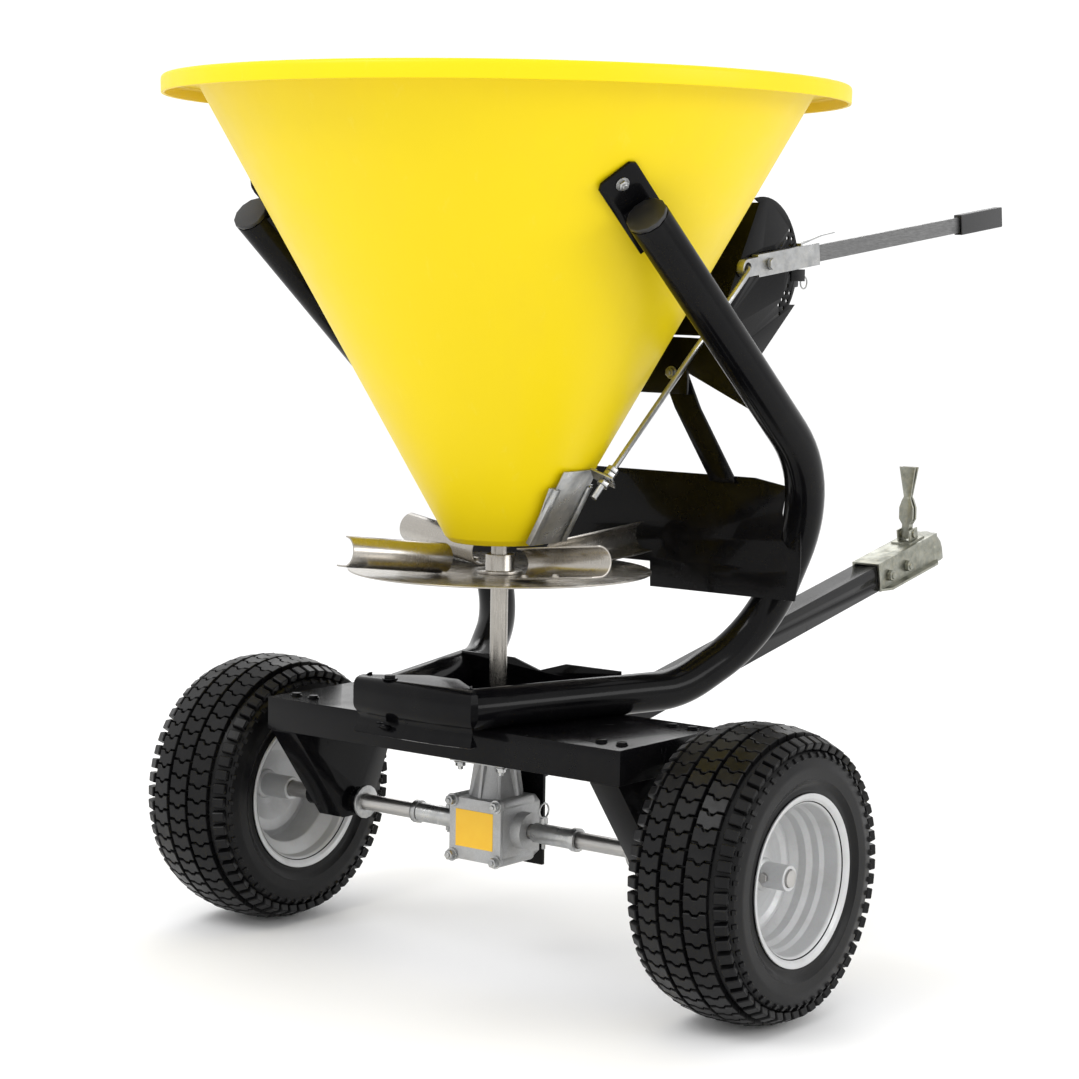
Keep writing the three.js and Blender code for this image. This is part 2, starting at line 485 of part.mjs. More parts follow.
// section u across the vane, section v up, length along the vane
const vaneFrame = new THREE.Matrix4().makeBasis(new THREE.Vector3(0, 1, 0), new THREE.Vector3(0, 0, 1),
  new THREE.Vector3(1, 0, 0));
const vaneBase = toSolid(vaneLine.applyMatrix4(vaneFrame));
const vaneFoot = dz + sheet + VANE.seat;
['one', 'two', 'three', 'four'].forEach((word, i) => {
  const place = new THREE.Matrix4().makeTranslation(VANE.from, -VANE.offset, vaneFoot)
    .multiply(new THREE.Matrix4().makeRotationY(-VANE.rise * DEG));
  const turn = new THREE.Matrix4().makeRotationZ((VANE.azimuth + 90 * i) * DEG);
  add(`vane_${word}`, moved(vaneBase, turn.multiply(place)), STAINLESS);
});

const bushLow = HOPPER.bottomZ - 3;
add('hopper_bush', cut(join(bar('z', 17, bushLow + 3, HOPPER.bottomZ + HOPPER.wall + 2, [0, 0]),
  bar('z', 24, HOPPER.bottomZ + HOPPER.wall + GAP, HOPPER.bottomZ + HOPPER.wall + 3.5, [0, 0])),
bar('z', SPINNER.shaftR + GAP, 0, 800, [0, 0])), BRONZE);
const agitatorZ = HOPPER.bottomZ + HOPPER.wall + 9;
const finger = bentLine([[16, 0, agitatorZ + 9], [60, 0, agitatorZ + 9], [78, 0, agitatorZ + 62]], [14]);
const fingerSolid = swept(4, finger, 8);
add('agitator', join(ring('z', 20, onShaft, agitatorZ, agitatorZ + 20), fingerSolid,
  moved(fingerSolid, new THREE.Matrix4().makeRotationZ(Math.PI))), STEEL);

// ---------------------------------------------------------------- hopper
const coneR = (z) => HOPPER.bottomR + (z - HOPPER.bottomZ) * HOPPER.cone;
const wallAcross = HOPPER.wall * Math.hypot(1, HOPPER.cone);
const rimTop = HOPPER.lipZ + HOPPER.lipDrop;
const bushHole = 17 + GAP;
const floorTop = HOPPER.bottomZ + HOPPER.wall;
const hopperShell = turned([
  [bushHole, HOPPER.bottomZ], [HOPPER.bottomR - 7, HOPPER.bottomZ],
    [coneR(HOPPER.bottomZ + 5), HOPPER.bottomZ + 5],
  [coneR(rimTop - 7), rimTop - 7], [HOPPER.lipR - 6, rimTop - 7], [HOPPER.lipR - 5, HOPPER.lipZ],
  [HOPPER.lipR, HOPPER.lipZ], [HOPPER.lipR, rimTop - 5], [HOPPER.lipR - 5, rimTop],
  [coneR(rimTop) - wallAcross, rimTop], [coneR(floorTop) - wallAcross, floorTop], [bushHole, floorTop],
], 'z', HOPPER_SIDES);
const window = block(-SHUTTER.windowHalf, SHUTTER.windowHalf, -200, -40,
  HOPPER.bottomZ + SHUTTER.windowFrom, HOPPER.bottomZ + SHUTTER.windowTo);
add('hopper', cut(hopperShell, window), YELLOW);

// ---------------------------------------------------------------- shutter on the cone's right side
// Local axes: u forward, s up the cone, n outward from its surface.
const lean = Math.atan(HOPPER.cone);
const coneFrame = new THREE.Matrix4().makeBasis(
  new THREE.Vector3(1, 0, 0),
  new THREE.Vector3(0, -Math.sin(lean), Math.cos(lean)),
  new THREE.Vector3(0, -Math.cos(lean), -Math.sin(lean)),
).setPosition(0, -HOPPER.bottomR - 0.6, HOPPER.bottomZ);
const onCone = (solid) => moved(solid, coneFrame);
const guideBack = GUIDE.t;
const slideIn = guideBack + GAP;
const slideOut = slideIn + SHUTTER.t;
const railOut = slideOut + GAP + 2.5;
const rail = (s) => join(
  block(s * (SHUTTER.halfU + GAP) - (s < 0 ? 4 : 0), s * (SHUTTER.halfU + GAP) + (s > 0 ? 4 : 0),
    GUIDE.from, GUIDE.to, 0, railOut),
  block(Math.min(s * (SHUTTER.halfU - 7), s * (SHUTTER.halfU + 4)),
    Math.max(s * (SHUTTER.halfU - 7), s * (SHUTTER.halfU + 4)),
    GUIDE.from, GUIDE.to, slideOut + GAP, railOut));
const guidePlate = cut(
  plate([[-GUIDE.halfU, GUIDE.to], [-GUIDE.halfU + 16, GUIDE.from], [GUIDE.halfU - 16, GUIDE.from],
    [GUIDE.halfU, GUIDE.to]], 'z', 0, guideBack),
  block(-SHUTTER.windowHalf - 2, SHUTTER.windowHalf + 2, SHUTTER.windowFrom,
    SHUTTER.windowTo / Math.cos(lean) + 6, -1, guideBack + 1));
add('shutter_guide', onCone(join(guidePlate, rail(-1), rail(1))), ZINC);

const LUG = { u: 34, s: 126, n: 27, half: 13, t: 3 };
const rodHole = ROD.r + 1.2;
const slidePlate = block(-SHUTTER.halfU, SHUTTER.halfU, SHUTTER.from, SHUTTER.to, slideIn, slideOut);
const rodFoot = new THREE.Vector3(LUG.u, LUG.s, LUG.n).applyMatrix4(coneFrame);
const eyeX = PIVOT.x + LEVER.eyeX * Math.cos(LEVER.tilt * DEG);
const eyeZ = PIVOT.z + LEVER.eyeX * Math.sin(LEVER.tilt * DEG);
const leverY = QUADRANT.y - QUADRANT.t - 2;
const rodPlaneY = leverY - LEVER.barT - 9;
const rodKnee = new THREE.Vector3(eyeX - 48, rodPlaneY, eyeZ - 40);
const rodAim = rodKnee.clone().sub(rodFoot).normalize();
const rodStart = rodFoot.clone().addScaledVector(rodAim, -34);
const alongRod = (a, b) => bentLine([a, b].map((d) => rodFoot.clone().addScaledVector(rodAim,
  d).toArray()));
const rodHoleTool = swept(rodHole, alongRod(-12, 12));
const coneOut = new THREE.Vector3().setFromMatrixColumn(coneFrame, 2);
const lugUp = coneOut.clone().addScaledVector(rodAim, -coneOut.dot(rodAim)).normalize();
const lugFrame = new THREE.Matrix4().makeBasis(lugUp.clone().cross(rodAim), lugUp,
  rodAim).setPosition(rodFoot);
const lugFoot = -(LUG.n - slideIn - 1) / lugUp.dot(coneOut);
const lugPlate = moved(block(-LUG.half, LUG.half, lugFoot, LUG.half, -LUG.t / 2, LUG.t / 2), lugFrame);
add('shutter_slide', cut(join(onCone(slidePlate), lugPlate), rodHoleTool), ZINC);

const rodLine = bentLine([rodStart.toArray(), rodKnee.toArray(), [eyeX, rodPlaneY, eyeZ],
  [eyeX, leverY + 1.4, eyeZ]], [46, 10]);
const nut = (low) => swept(ROD.r + 4.4, alongRod(low, low + 7), 6);
add('link_rod', join(swept(ROD.r, rodLine, ROD.sides), nut(4.5), nut(13), nut(-11.5)), ZINC);

// ---------------------------------------------------------------- flow lever and quadrant
const outsideCone = (z) => coneR(z) + 1.2;
const flangeT = QUADRANT.t * Math.hypot(1, HOPPER.cone);
const bracketLow = CROSS.top + 3;
const qTop = PIVOT.z + QUADRANT.r * Math.sin(QUADRANT.from * DEG);
const qShape = new THREE.Shape();
qShape.moveTo(outsideCone(bracketLow), bracketLow);
qShape.lineTo(outsideCone(qTop - 6), qTop - 6);
qShape.absarc(PIVOT.x, PIVOT.z, QUADRANT.r, QUADRANT.from * DEG, QUADRANT.to * DEG, true);
qShape.lineTo(PIVOT.x + QUADRANT.r * Math.cos(QUADRANT.to * DEG) + 16,
  PIVOT.z + QUADRANT.r * Math.sin(QUADRANT.to * DEG));
qShape.lineTo(PIVOT.x - 2, bracketLow - 34);
qShape.lineTo(outsideCone(bracketLow) + 24, bracketLow - 34);
const qFace = plate(qShape, 'y', QUADRANT.y - QUADRANT.t, QUADRANT.y);
const qFlange = plate([[outsideCone(bracketLow), bracketLow],
  [outsideCone(bracketLow) + flangeT, bracketLow],
  [outsideCone(qTop - 6) + flangeT, qTop - 6], [outsideCone(qTop - 6), qTop - 6]], 'y',
    QUADRANT.y - QUADRANT.t, -40);
const lipFrom = [PIVOT.x + QUADRANT.r * Math.cos(QUADRANT.to * DEG) + 16,
  PIVOT.z + QUADRANT.r * Math.sin(QUADRANT.to * DEG)];
const lipTo = [PIVOT.x - 2, bracketLow - 34];
const qLip = plate([lipFrom, [lipFrom[0] - 4.4, lipFrom[1]], [lipTo[0] - 4.4, lipTo[1]], lipTo], 'y',
  QUADRANT.y - QUADRANT.t, QUADRANT.y + 22);
const holeTools = [];
for (let row = 0; row < 2; row++) {
  for (let i = 0; i < QUADRANT.holes - row; i++) {
    const a = (34 - QUADRANT.step * (i + row / 2)) * DEG;
    const r = QUADRANT.r - QUADRANT.rimIn - 11 * row;
    if (Math.abs(a) > 0.42) holeTools.push(bar('y', QUADRANT.holeR, QUADRANT.y - 9, QUADRANT.y + 9,
      [PIVOT.x + r * Math.cos(a), PIVOT.z + r * Math.sin(a)], 8));
  }
}
const stopA = 9;
const pivotHole = bar('y', 5 + GAP, QUADRANT.y - 20, QUADRANT.y + 20, [PIVOT.x, PIVOT.z]);
add('quadrant_bracket', cut(join(qFace, qFlange, qLip), ...holeTools, pivotHole), BLACK);

// The lever lies along x in its own frame, pivot at the origin, and is then tipped up.
const leverFrame = new THREE.Matrix4().makeTranslation(PIVOT.x, 0, PIVOT.z)
  .multiply(new THREE.Matrix4().makeRotationY(-LEVER.tilt * DEG));
const onLever = (solid) => moved(solid, leverFrame);
const leverIn = leverY;
const leverOut = leverY - LEVER.barT;
const halfBar = LEVER.bar / 2;
const channel = cut(
  join(block(-30, LEVER.channelTo, leverOut - 4, leverIn, -halfBar - 4, halfBar + 4),
    bar('y', 13, leverOut - 4, leverIn, [LEVER.eyeX, 0]),
    block(LEVER.eyeX, -28, leverOut - 4, leverIn, -13, 13)),
  block(-18, LEVER.channelTo + 1, leverOut, leverIn + 1, -halfBar - GAP, halfBar + GAP),
  bar('y', LEVER.eyeR, leverOut - 10, leverIn + 10, [LEVER.eyeX, 0]),
  bar('y', 5 + GAP, leverOut - 10, leverIn + 10, [0, 0]));
add('lever_bar', onLever(cut(block(-12, LEVER.gripTo - 3, leverOut + GAP, leverIn, -halfBar, halfBar),
  bar('y', 5 + GAP, leverOut - 10, leverIn + 10, [0, 0]))), ZINC);
const gripT = 4;
add('lever_grip', onLever(cut(
  block(LEVER.gripFrom, LEVER.gripTo + gripT, leverOut + GAP - gripT, leverIn + gripT, -halfBar - gripT,
    halfBar + gripT),
  block(LEVER.gripFrom - 1, LEVER.gripTo - 3 + GAP, leverOut, leverIn + GAP, -halfBar - GAP,
    halfBar + GAP))), PLASTIC);
const boltY = [leverOut - 4 - GAP, QUADRANT.y + GAP];
add('lever_pivot_bolt', join(bar('y', 5, boltY[0] - 1, boltY[1] + 9, [PIVOT.x, PIVOT.z]),
  bar('y', 9, boltY[0] - 6, boltY[0], [PIVOT.x, PIVOT.z], 6),
  bar('y', 9, boltY[1], boltY[1] + 7, [PIVOT.x, PIVOT.z], 6)), ZINC);
const springTop = halfBar + 4;
const springStrip = plate([[88, springTop - 1], [92, springTop - 1], [94, springTop + 2],
  [150, springTop + 9],
  [186, springTop + 10], [186, springTop + 12], [149, springTop + 11.2], [90, springTop + 4]], 'y',
    leverOut - 2, leverIn);
add('lever_channel', onLever(join(channel, springStrip)), ZINC);

// The adjustable stop: a finger on the lever's side, clamped through the rim by a lobed knob behind it.
const stopAt = [PIVOT.x + (QUADRANT.r + 8) * Math.cos(-stopA * DEG),
  PIVOT.z + (QUADRANT.r + 8) * Math.sin(-stopA * DEG)];
const lobes = Array.from({ length: 32 }, (_, i) => {
  const a = (i / 32) * 2 * Math.PI;
  const r = 22 + 3 * Math.cos(8 * a);
  return [stopAt[0] + r * Math.cos(a), stopAt[1] + r * Math.sin(a)];
});
const knobIn = QUADRANT.y + 5.5;
add('stop_knob', cut(join(plate(lobes, 'y', knobIn + 5, knobIn + 19),
  bar('y', 11, knobIn, knobIn + 6, stopAt, 20)),
  bar('y', 4 + GAP, knobIn - 1, knobIn + 14, stopAt, 16)), PLASTIC);
const clampJaw = (low, high) => block(stopAt[0] - 26, stopAt[0] + 12, low, high, stopAt[1] - 9,
  stopAt[1] + 9);
add('stop_clamp', join(clampJaw(QUADRANT.y + GAP, QUADRANT.y + 5),
  clampJaw(QUADRANT.y - QUADRANT.t - 1.6, QUADRANT.y - QUADRANT.t - GAP),
  block(stopAt[0] - 6, stopAt[0] + 12, QUADRANT.y - QUADRANT.t - 1, QUADRANT.y + 1, stopAt[1] - 9,
    stopAt[1] + 9),
  bar('y', 4, QUADRANT.y, knobIn + 13, stopAt, 16)), BLACK);

// ---------------------------------------------------------------- support tubes
const tubeRest = BASE.top + TUBE.r + GAP;
const knees = TUBE_KNEES.map(([x, y, z]) => [x, -y, z === 0 ? tubeRest : z]);
const tubeLine = bentLine(knees, TUBE_BENDS);
addPair('support_tube', swept(TUBE.r, tubeLine, TUBE.sides, TUBE.r - TUBE.wall), BLACK);

const tubeTop = new THREE.Vector3(...knees[0]);
const tubeAim = new THREE.Vector3(...knees[1]).sub(tubeTop).normalize();
const alongTube = (a, b) => bentLine([a, b].map((d) => tubeTop.clone().addScaledVector(tubeAim,
  d).toArray()));
addPair('tube_cap', join(swept(TUBE.r, alongTube(-7, -GAP), TUBE.sides),
  swept(TUBE.r - TUBE.wall - 2 * GAP, alongTube(-1, 16), TUBE.sides)), PLASTIC);

// Bracket between each tube's top and the hopper: a strap on the cone that runs on past the tube's
// end for its bolt, and a saddle under the tube.
const bracketAz = Math.atan2(tubeTop.y, tubeTop.x);
const radial = new THREE.Vector3(Math.cos(bracketAz), Math.sin(bracketAz), 0);
const outward = radial.clone().multiplyScalar(Math.cos(lean)).add(new THREE.Vector3(0, 0, -Math.sin(lean)));
const alongStrap = tubeAim.clone().negate();
alongStrap.addScaledVector(outward, -alongStrap.dot(outward)).normalize();
const sideways = new THREE.Vector3().crossVectors(alongStrap, outward);
const bracketFrame = new THREE.Matrix4().makeBasis(sideways, alongStrap, outward)
  .setPosition(radial.clone().multiplyScalar(coneR(tubeTop.z) + 0.6).add(new THREE.Vector3(0, 0,
    tubeTop.z)));
const tubeRoom = swept(TUBE.r + GAP, alongTube(-60, 200), TUBE.sides);
const tubeStand = tubeTop.clone().applyMatrix4(bracketFrame.clone().invert());
const strapHalf = STRAP.width / 2;
const strapEnds = [tubeStand.y - STRAP.below, tubeStand.y + STRAP.beyond];
const strapShape = [[-strapHalf, strapEnds[0]], [strapHalf, strapEnds[0]],
  [strapHalf, strapEnds[1] - STRAP.corner],
  [strapHalf - STRAP.corner, strapEnds[1]], [STRAP.corner - strapHalf, strapEnds[1]],
  [-strapHalf, strapEnds[1] - STRAP.corner]].map(([x, y]) => [x + tubeStand.x, y]);
const strapSaddleLow = strapEnds[0] + 8;
const strapSaddle = block(tubeStand.x - 20, tubeStand.x + 20, strapSaddleLow, tubeStand.y - 4, SHEET - 1,
  tubeStand.z - 8);
const hopperBracket = cut(moved(join(plate(strapShape, 'z', 0, SHEET), strapSaddle), bracketFrame),
  tubeRoom);
addPair('hopper_bracket', hopperBracket, BLACK);

// Plate on edge that ties the two tubes together ahead of the tray.
const wholeTubeRoom = swept(TUBE.r + GAP, tubeLine, TUBE.sides);
const tieRear = BASE.front + GAP;
const tieShape = [[-TIE.halfY, BASE.top - TIE.below], [TIE.halfY, BASE.top - TIE.below],
  [TIE.halfY, BASE.top + TIE.above],
  [TIE.dipHalf, BASE.top + TIE.above], [0, BASE.top + TIE.above - TIE.dip],
    [-TIE.dipHalf, BASE.top + TIE.above],
  [-TIE.halfY, BASE.top + TIE.above]];
add('front_tie_plate', cut(plate(tieShape, 'x', tieRear, tieRear + SHEET), wholeTubeRoom,
  mirroredY(wholeTubeRoom)), BLACK);

// Nose band that wraps the rear ends of the two tubes.
const strip = (line, t) => {
  const pts = line.map(([x, y]) => new THREE.Vector2(x, y));
  const side = pts.map((p, i) => {
    const a = pts[Math.max(i - 1, 0)];
    const b = pts[Math.min(i + 1, pts.length - 1)];
    const d = b.clone().sub(a).normalize();
    return new THREE.Vector2(p.x - d.y * t, p.y + d.x * t);
  });
  return [...pts, ...side.reverse()].map((p) => [p.x, p.y]);
};
const [[rootX, rootY], [tailX, tailY]] = TUBE_KNEES.slice(-2);
const splay = Math.atan2(rootY - tailY, rootX - tailX);
const noseY = tailY + TUBE.r * Math.cos(splay) + NOSE.beside;
const noseCornerX = tailX - TUBE.r * Math.sin(splay) - NOSE.behind;
const noseRearX = noseCornerX - NOSE.point;
const nose = [[NOSE.sideX, -noseY], [noseCornerX, -noseY], [noseRearX, -NOSE.faceHalf],
  [noseRearX, NOSE.faceHalf], [noseCornerX, noseY], [NOSE.sideX, noseY]];
const noseFloor = BASE.top - SHEET;
const noseRoof = tubeRest + TUBE.r + GAP;
const noseBoltAt = [noseRearX + NOSE.boltIn, NOSE.boltY];
const noseBolt = bar('z', 5, noseFloor - 6, noseRoof + SHEET + 6, noseBoltAt);
const noseHeads = [[noseFloor - 7, noseFloor + 1], [noseRoof + SHEET - 1, noseRoof + SHEET + 7]];
const noseHeadBars = noseHeads.map(([low, high]) => bar('z', 9, low, high, noseBoltAt, 6));
const noseFloorShape = [[BASE.rear - GAP, -96], ...nose.slice(1, 5), [BASE.rear - GAP, 96]];
add('nose_band', join(plate(strip(nose, -SHEET), 'z', BASE.top - NOSE.lip, noseRoof + SHEET),
  plate([...nose, [NOSE.frontX, 58], [NOSE.frontX, -58]], 'z', noseRoof, noseRoof + SHEET),
  plate(noseFloorShape, 'z', noseFloor, BASE.top), noseBolt, ...noseHeadBars), BLACK);

// ---------------------------------------------------------------- front crossmember, braces, shield
const crossPlan = [[CROSS.endX, -319], [CROSS.frontX - 8, -CROSS.frontY - 6],
  [CROSS.frontX, -CROSS.frontY + 14],
  [CROSS.frontX, CROSS.frontY - 14], [CROSS.frontX - 8, CROSS.frontY + 6], [CROSS.endX, 319]];
const crossBar = plate(strip(crossPlan, -SHEET), 'z', CROSS.endLow, CROSS.top);
const wingCut = (s) => plate([[s * 330, CROSS.endLow - 1], [s * 330, CROSS.endLow],
  [s * (CROSS.frontY + 6), CROSS.wingLow],
  [s * (CROSS.frontY + 6), CROSS.endLow - 1]], 'x', 0, 400);
const frontCut = block(0, 400, -CROSS.frontY - 6.2, CROSS.frontY + 6.2, CROSS.endLow - 1, CROSS.low - 20);
add('front_crossmember', cut(crossBar, wingCut(-1), wingCut(1), frontCut, wholeTubeRoom,
  mirroredY(wholeTubeRoom)), BLACK);

const braceX = CROSS.frontX + SHEET + GAP;
const braceFootX = SHIELD.x - GAP - BRACE.t;
const braceShape = [[-BRACE.topY + BRACE.width / 2, BRACE.topZ],
  [-BRACE.topY - BRACE.width / 2, BRACE.topZ],
  [-BRACE.footY - BRACE.width / 2, BRACE.footZ], [-BRACE.footY + BRACE.width / 2, BRACE.footZ]];
const braceFlat = plate(braceShape, 'x', braceX - 60, braceX + 60);
const braceProfile = plate([[braceX, BRACE.topZ + 1], [braceX, 600], [braceFootX, SHIELD.top],
  [braceFootX, BRACE.footZ - 1],
  [braceFootX + BRACE.t, BRACE.footZ - 1], [braceFootX + BRACE.t, SHIELD.top], [braceX + BRACE.t, 600],
    [braceX + BRACE.t, BRACE.topZ + 1]],
'y', -BRACE.footY - 60, -BRACE.topY + 60);
addPair('shield_brace', braceFlat.intersect(braceProfile), BLACK);

const shieldOutline = new THREE.Shape();
shieldOutline.moveTo(-SHIELD.halfY, SHIELD.bottom);
shieldOutline.lineTo(-SHIELD.notch, SHIELD.bottom);
shieldOutline.lineTo(-SHIELD.notch + 9, SHIELD.fold - 6);
shieldOutline.lineTo(SHIELD.notch - 9, SHIELD.fold - 6);
shieldOutline.lineTo(SHIELD.notch, SHIELD.bottom);
shieldOutline.lineTo(SHIELD.halfY, SHIELD.bottom);
shieldOutline.lineTo(SHIELD.halfY, SHIELD.top - SHIELD.corner);
shieldOutline.absarc(SHIELD.halfY - SHIELD.corner, SHIELD.top - SHIELD.corner, SHIELD.corner, 0, 60 * DEG,
  false);
shieldOutline.lineTo(SHIELD.halfY - SHIELD.corner * 1.3, SHIELD.top);
shieldOutline.lineTo(-SHIELD.halfY + SHIELD.corner * 1.3, SHIELD.top);
shieldOutline.absarc(-SHIELD.halfY + SHIELD.corner, SHIELD.top - SHIELD.corner, SHIELD.corner, 120 * DEG,
  180 * DEG, false);
const shieldFace = plate(shieldOutline, 'x', SHIELD.x - 60, SHIELD.x + 60);
const shieldBend = plate([[SHIELD.x, SHIELD.top + 1], [SHIELD.x, SHIELD.fold],
  [SHIELD.x - 13, SHIELD.bottom - 1],
  [SHIELD.x - 13 + SHIELD.t, SHIELD.bottom - 1], [SHIELD.x + SHIELD.t, SHIELD.fold],
    [SHIELD.x + SHIELD.t, SHIELD.top + 1]],
'y', -SHIELD.halfY - 1, SHIELD.halfY + 1);
add('deflector_shield', cut(shieldFace.intersect(shieldBend), wholeTubeRoom, mirroredY(wholeTubeRoom)),
  BLACK);

// ---------------------------------------------------------------- tongue and coupler
const slope = TONGUE.slope * DEG;
const tongueFrame = new THREE.Matrix4().makeTranslation(TONGUE.refX, 0, TONGUE.refZ)
  .multiply(new THREE.Matrix4().makeRotationY(-slope));
const onTongue = (solid) => moved(solid, tongueFrame);
const along = (x) => (x - TONGUE.refX) / Math.cos(slope);
const ht = TONGUE.size / 2;
const hi = ht - TONGUE.wall;
const tongueRear = along(TONGUE.rearX) - ht;
const boltAt = [along(COUPLER.startX) + 32, along(COUPLER.startX) + 92].map((s) => s);
const tongueBoltHoles = boltAt.map((s) => bar('y', 6 + GAP, -80, 80, [s, -2]));
const tongueBar = onTongue(cut(block(tongueRear, along(TONGUE.frontX), -ht, ht, -ht, ht),
  block(tongueRear - 1, along(TONGUE.frontX) + 1, -hi, hi, -hi, hi), ...tongueBoltHoles));
const plateFront = DROP_PLATE.x + DROP_PLATE.t;
add('tongue', join(cut(tongueBar, block(plateFront - 200, plateFront - 1, -100, 100, -300, 200)),
  block(DROP_PLATE.x, plateFront, -DROP_PLATE.halfY, DROP_PLATE.halfY, DROP_PLATE.bottom, hangerTop)),
    BLACK);

const c0 = along(COUPLER.startX);
const inW = ht + GAP;
const outW = inW + COUPLER.sheet;
const roofZ = ht + GAP;
const floorZ = roofZ + COUPLER.sheet - COUPLER.depth;
const ballS = c0 + COUPLER.ballX;
const socketR = COUPLER.ballR + COUPLER.play;
const shellR = socketR + COUPLER.sheet;
const ballZ = roofZ + COUPLER.sheet - shellR;
const c1 = ballS + shellR;
const sphere = (r) => toSolid(new THREE.SphereGeometry(r, 16, 10).rotateX(Math.PI / 2).translate(ballS, 0,
  ballZ));
const sideLips = [-1, 1].map((s) => plate([[c0 + 4, s * outW], [c0 + 18, s * (outW + COUPLER.lip)],
  [ballS - 26, s * (outW + COUPLER.lip)], [ballS - 4, s * outW], [ballS - 4, s * inW], [c0 + 4, s * inW]],
'z', floorZ, floorZ + COUPLER.sheet));
const couplerBody = cut(
  join(block(c0, ballS, -outW, outW, floorZ, roofZ + COUPLER.sheet), ...sideLips,
    bar('z', shellR, floorZ, ballZ, [ballS, 0]), sphere(shellR)),
  block(c0 - 1, ballS, -inW, inW, floorZ - 1, roofZ),
  sphere(socketR), bar('z', socketR, floorZ - 10, ballZ, [ballS, 0]),
  block(c0, c1 + 1, -60, 60, floorZ - 60, floorZ),
  ...boltAt.map((s) => bar('y', 6 + GAP, -80, 80, [s, -2])));

['rear', 'front'].forEach((word, i) => {
  const s = boltAt[i];
  add(`coupler_bolt_${word}`, onTongue(join(bar('y', 6, -outW - 11, outW + 10, [s, -2]),
    bar('y', 10, -outW - 8, -outW - GAP, [s, -2], 6), bar('y', 10, outW + GAP, outW + 8, [s, -2], 6))),
      ZINC);
});

// Latch: a lever on a saddle over the coupler's roof works a jaw under the ball.
const latchS = c0 + LATCH.x;
const saddleLow = roofZ + COUPLER.sheet;
const pinZ = saddleLow + 13;
const saddle = cut(join(block(latchS - 26, latchS + 26, -19, 19, saddleLow - 1, saddleLow + 3),
  block(latchS - 14, latchS + 14, 10, 13, saddleLow, saddleLow + 22),
  block(latchS - 14, latchS + 14, -13, -10, saddleLow, saddleLow + 22),
  bar('y', 7, -17, 17, [latchS, pinZ])),
block(latchS - 12, latchS + 22, -8, 8, saddleLow - 3, saddleLow + 40));
const latchPin = bar('y', 4, -12, 12, [latchS, pinZ]);
const jawAt = [latchS + JAW.hingeS, roofZ - JAW.drop];
const jawPin = bar('y', 4, -inW - 1, inW + 1, jawAt, 16);
add('coupler_body', onTongue(join(couplerBody, saddle, latchPin, jawPin)), ZINC);

const jawTip = ballS - COUPLER.ballR - 2.5;
const jaw = join(bar('y', 9, -JAW.halfY, JAW.halfY, jawAt, 20),
  plate([[jawAt[0] - 4, jawAt[1] - 8], [jawTip + 2, ballZ - 24], [jawTip + 12, ballZ - 31],
    [jawTip + 16, ballZ - 25],
    [jawTip + 5, ballZ - 12], [jawTip - 3, ballZ - 2], [jawAt[0] + 2, jawAt[1] + 8.5]], 'y', -JAW.halfY,
      JAW.halfY));
add('latch_jaw', onTongue(cut(jaw, bar('y', 4 + GAP, -40, 40, jawAt, 16))), ZINC);

// The lever stands upright on the machine, so it leans back against the tongue's slope.
const leverTop = LATCH.height;
const hw = LATCH.width / 2;
const ww = LATCH.waist / 2;
const handleFace = plate([[-7.2, -8], [7.2, -8], [7.2, 16], [hw - 2, 26], [hw - 2, 46], [ww, 64],
  [hw, leverTop], [-hw, leverTop], [-ww, 64],
  [-hw + 2, 46], [-hw + 2, 26], [-7.2, 16]], 'x', -7, 7);
const handleProfile = plate([[-7, -8], [7, -8], [7, 60], [4, 66], [7, leverTop], [3.4, leverTop],
  [0.6, 66], [3, 58], [3, 22],
  [-3, 22], [-3, 58], [-0.6, 66], [-3.4, leverTop], [-7, leverTop], [-4, 66], [-7, 60]], 'y', -40, 40);
const handle = cut(handleFace.intersect(handleProfile), bar('y', 4 + GAP, -40, 40, [0, 0]));
const latchFrame = tongueFrame.clone().multiply(new THREE.Matrix4().makeTranslation(latchS, 0, pinZ))
  .multiply(new THREE.Matrix4().makeRotationY(slope));
add('latch_lever', moved(handle, latchFrame), ZINC);

// ---------------------------------------------------------------- setting down
const rearReach = HOPPER.lipR;
const frontReach = new THREE.Vector3(c1, 0, floorZ).applyMatrix4(tongueFrame).x;
const spreader = new THREE.Group();
machine.position.set((rearReach - frontReach) / 2, 0, TYRE.radius);
spreader.add(machine);

export default spreader;
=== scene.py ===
# %% [markdown]
# # A tow-behind broadcast spreader
# A drawbar pulls two turf wheels. Their axle turns a bevel gearbox, the gearbox spins a disc with
# four vanes, and the disc throws whatever falls out of the yellow hopper above it. The packed
# model gives every piece its place. This file gives each one its looks.

# %% Load the frame
import json
import math

import bpy
from mathutils import Matrix, Vector
from mathutils.bvhtree import BVHTree


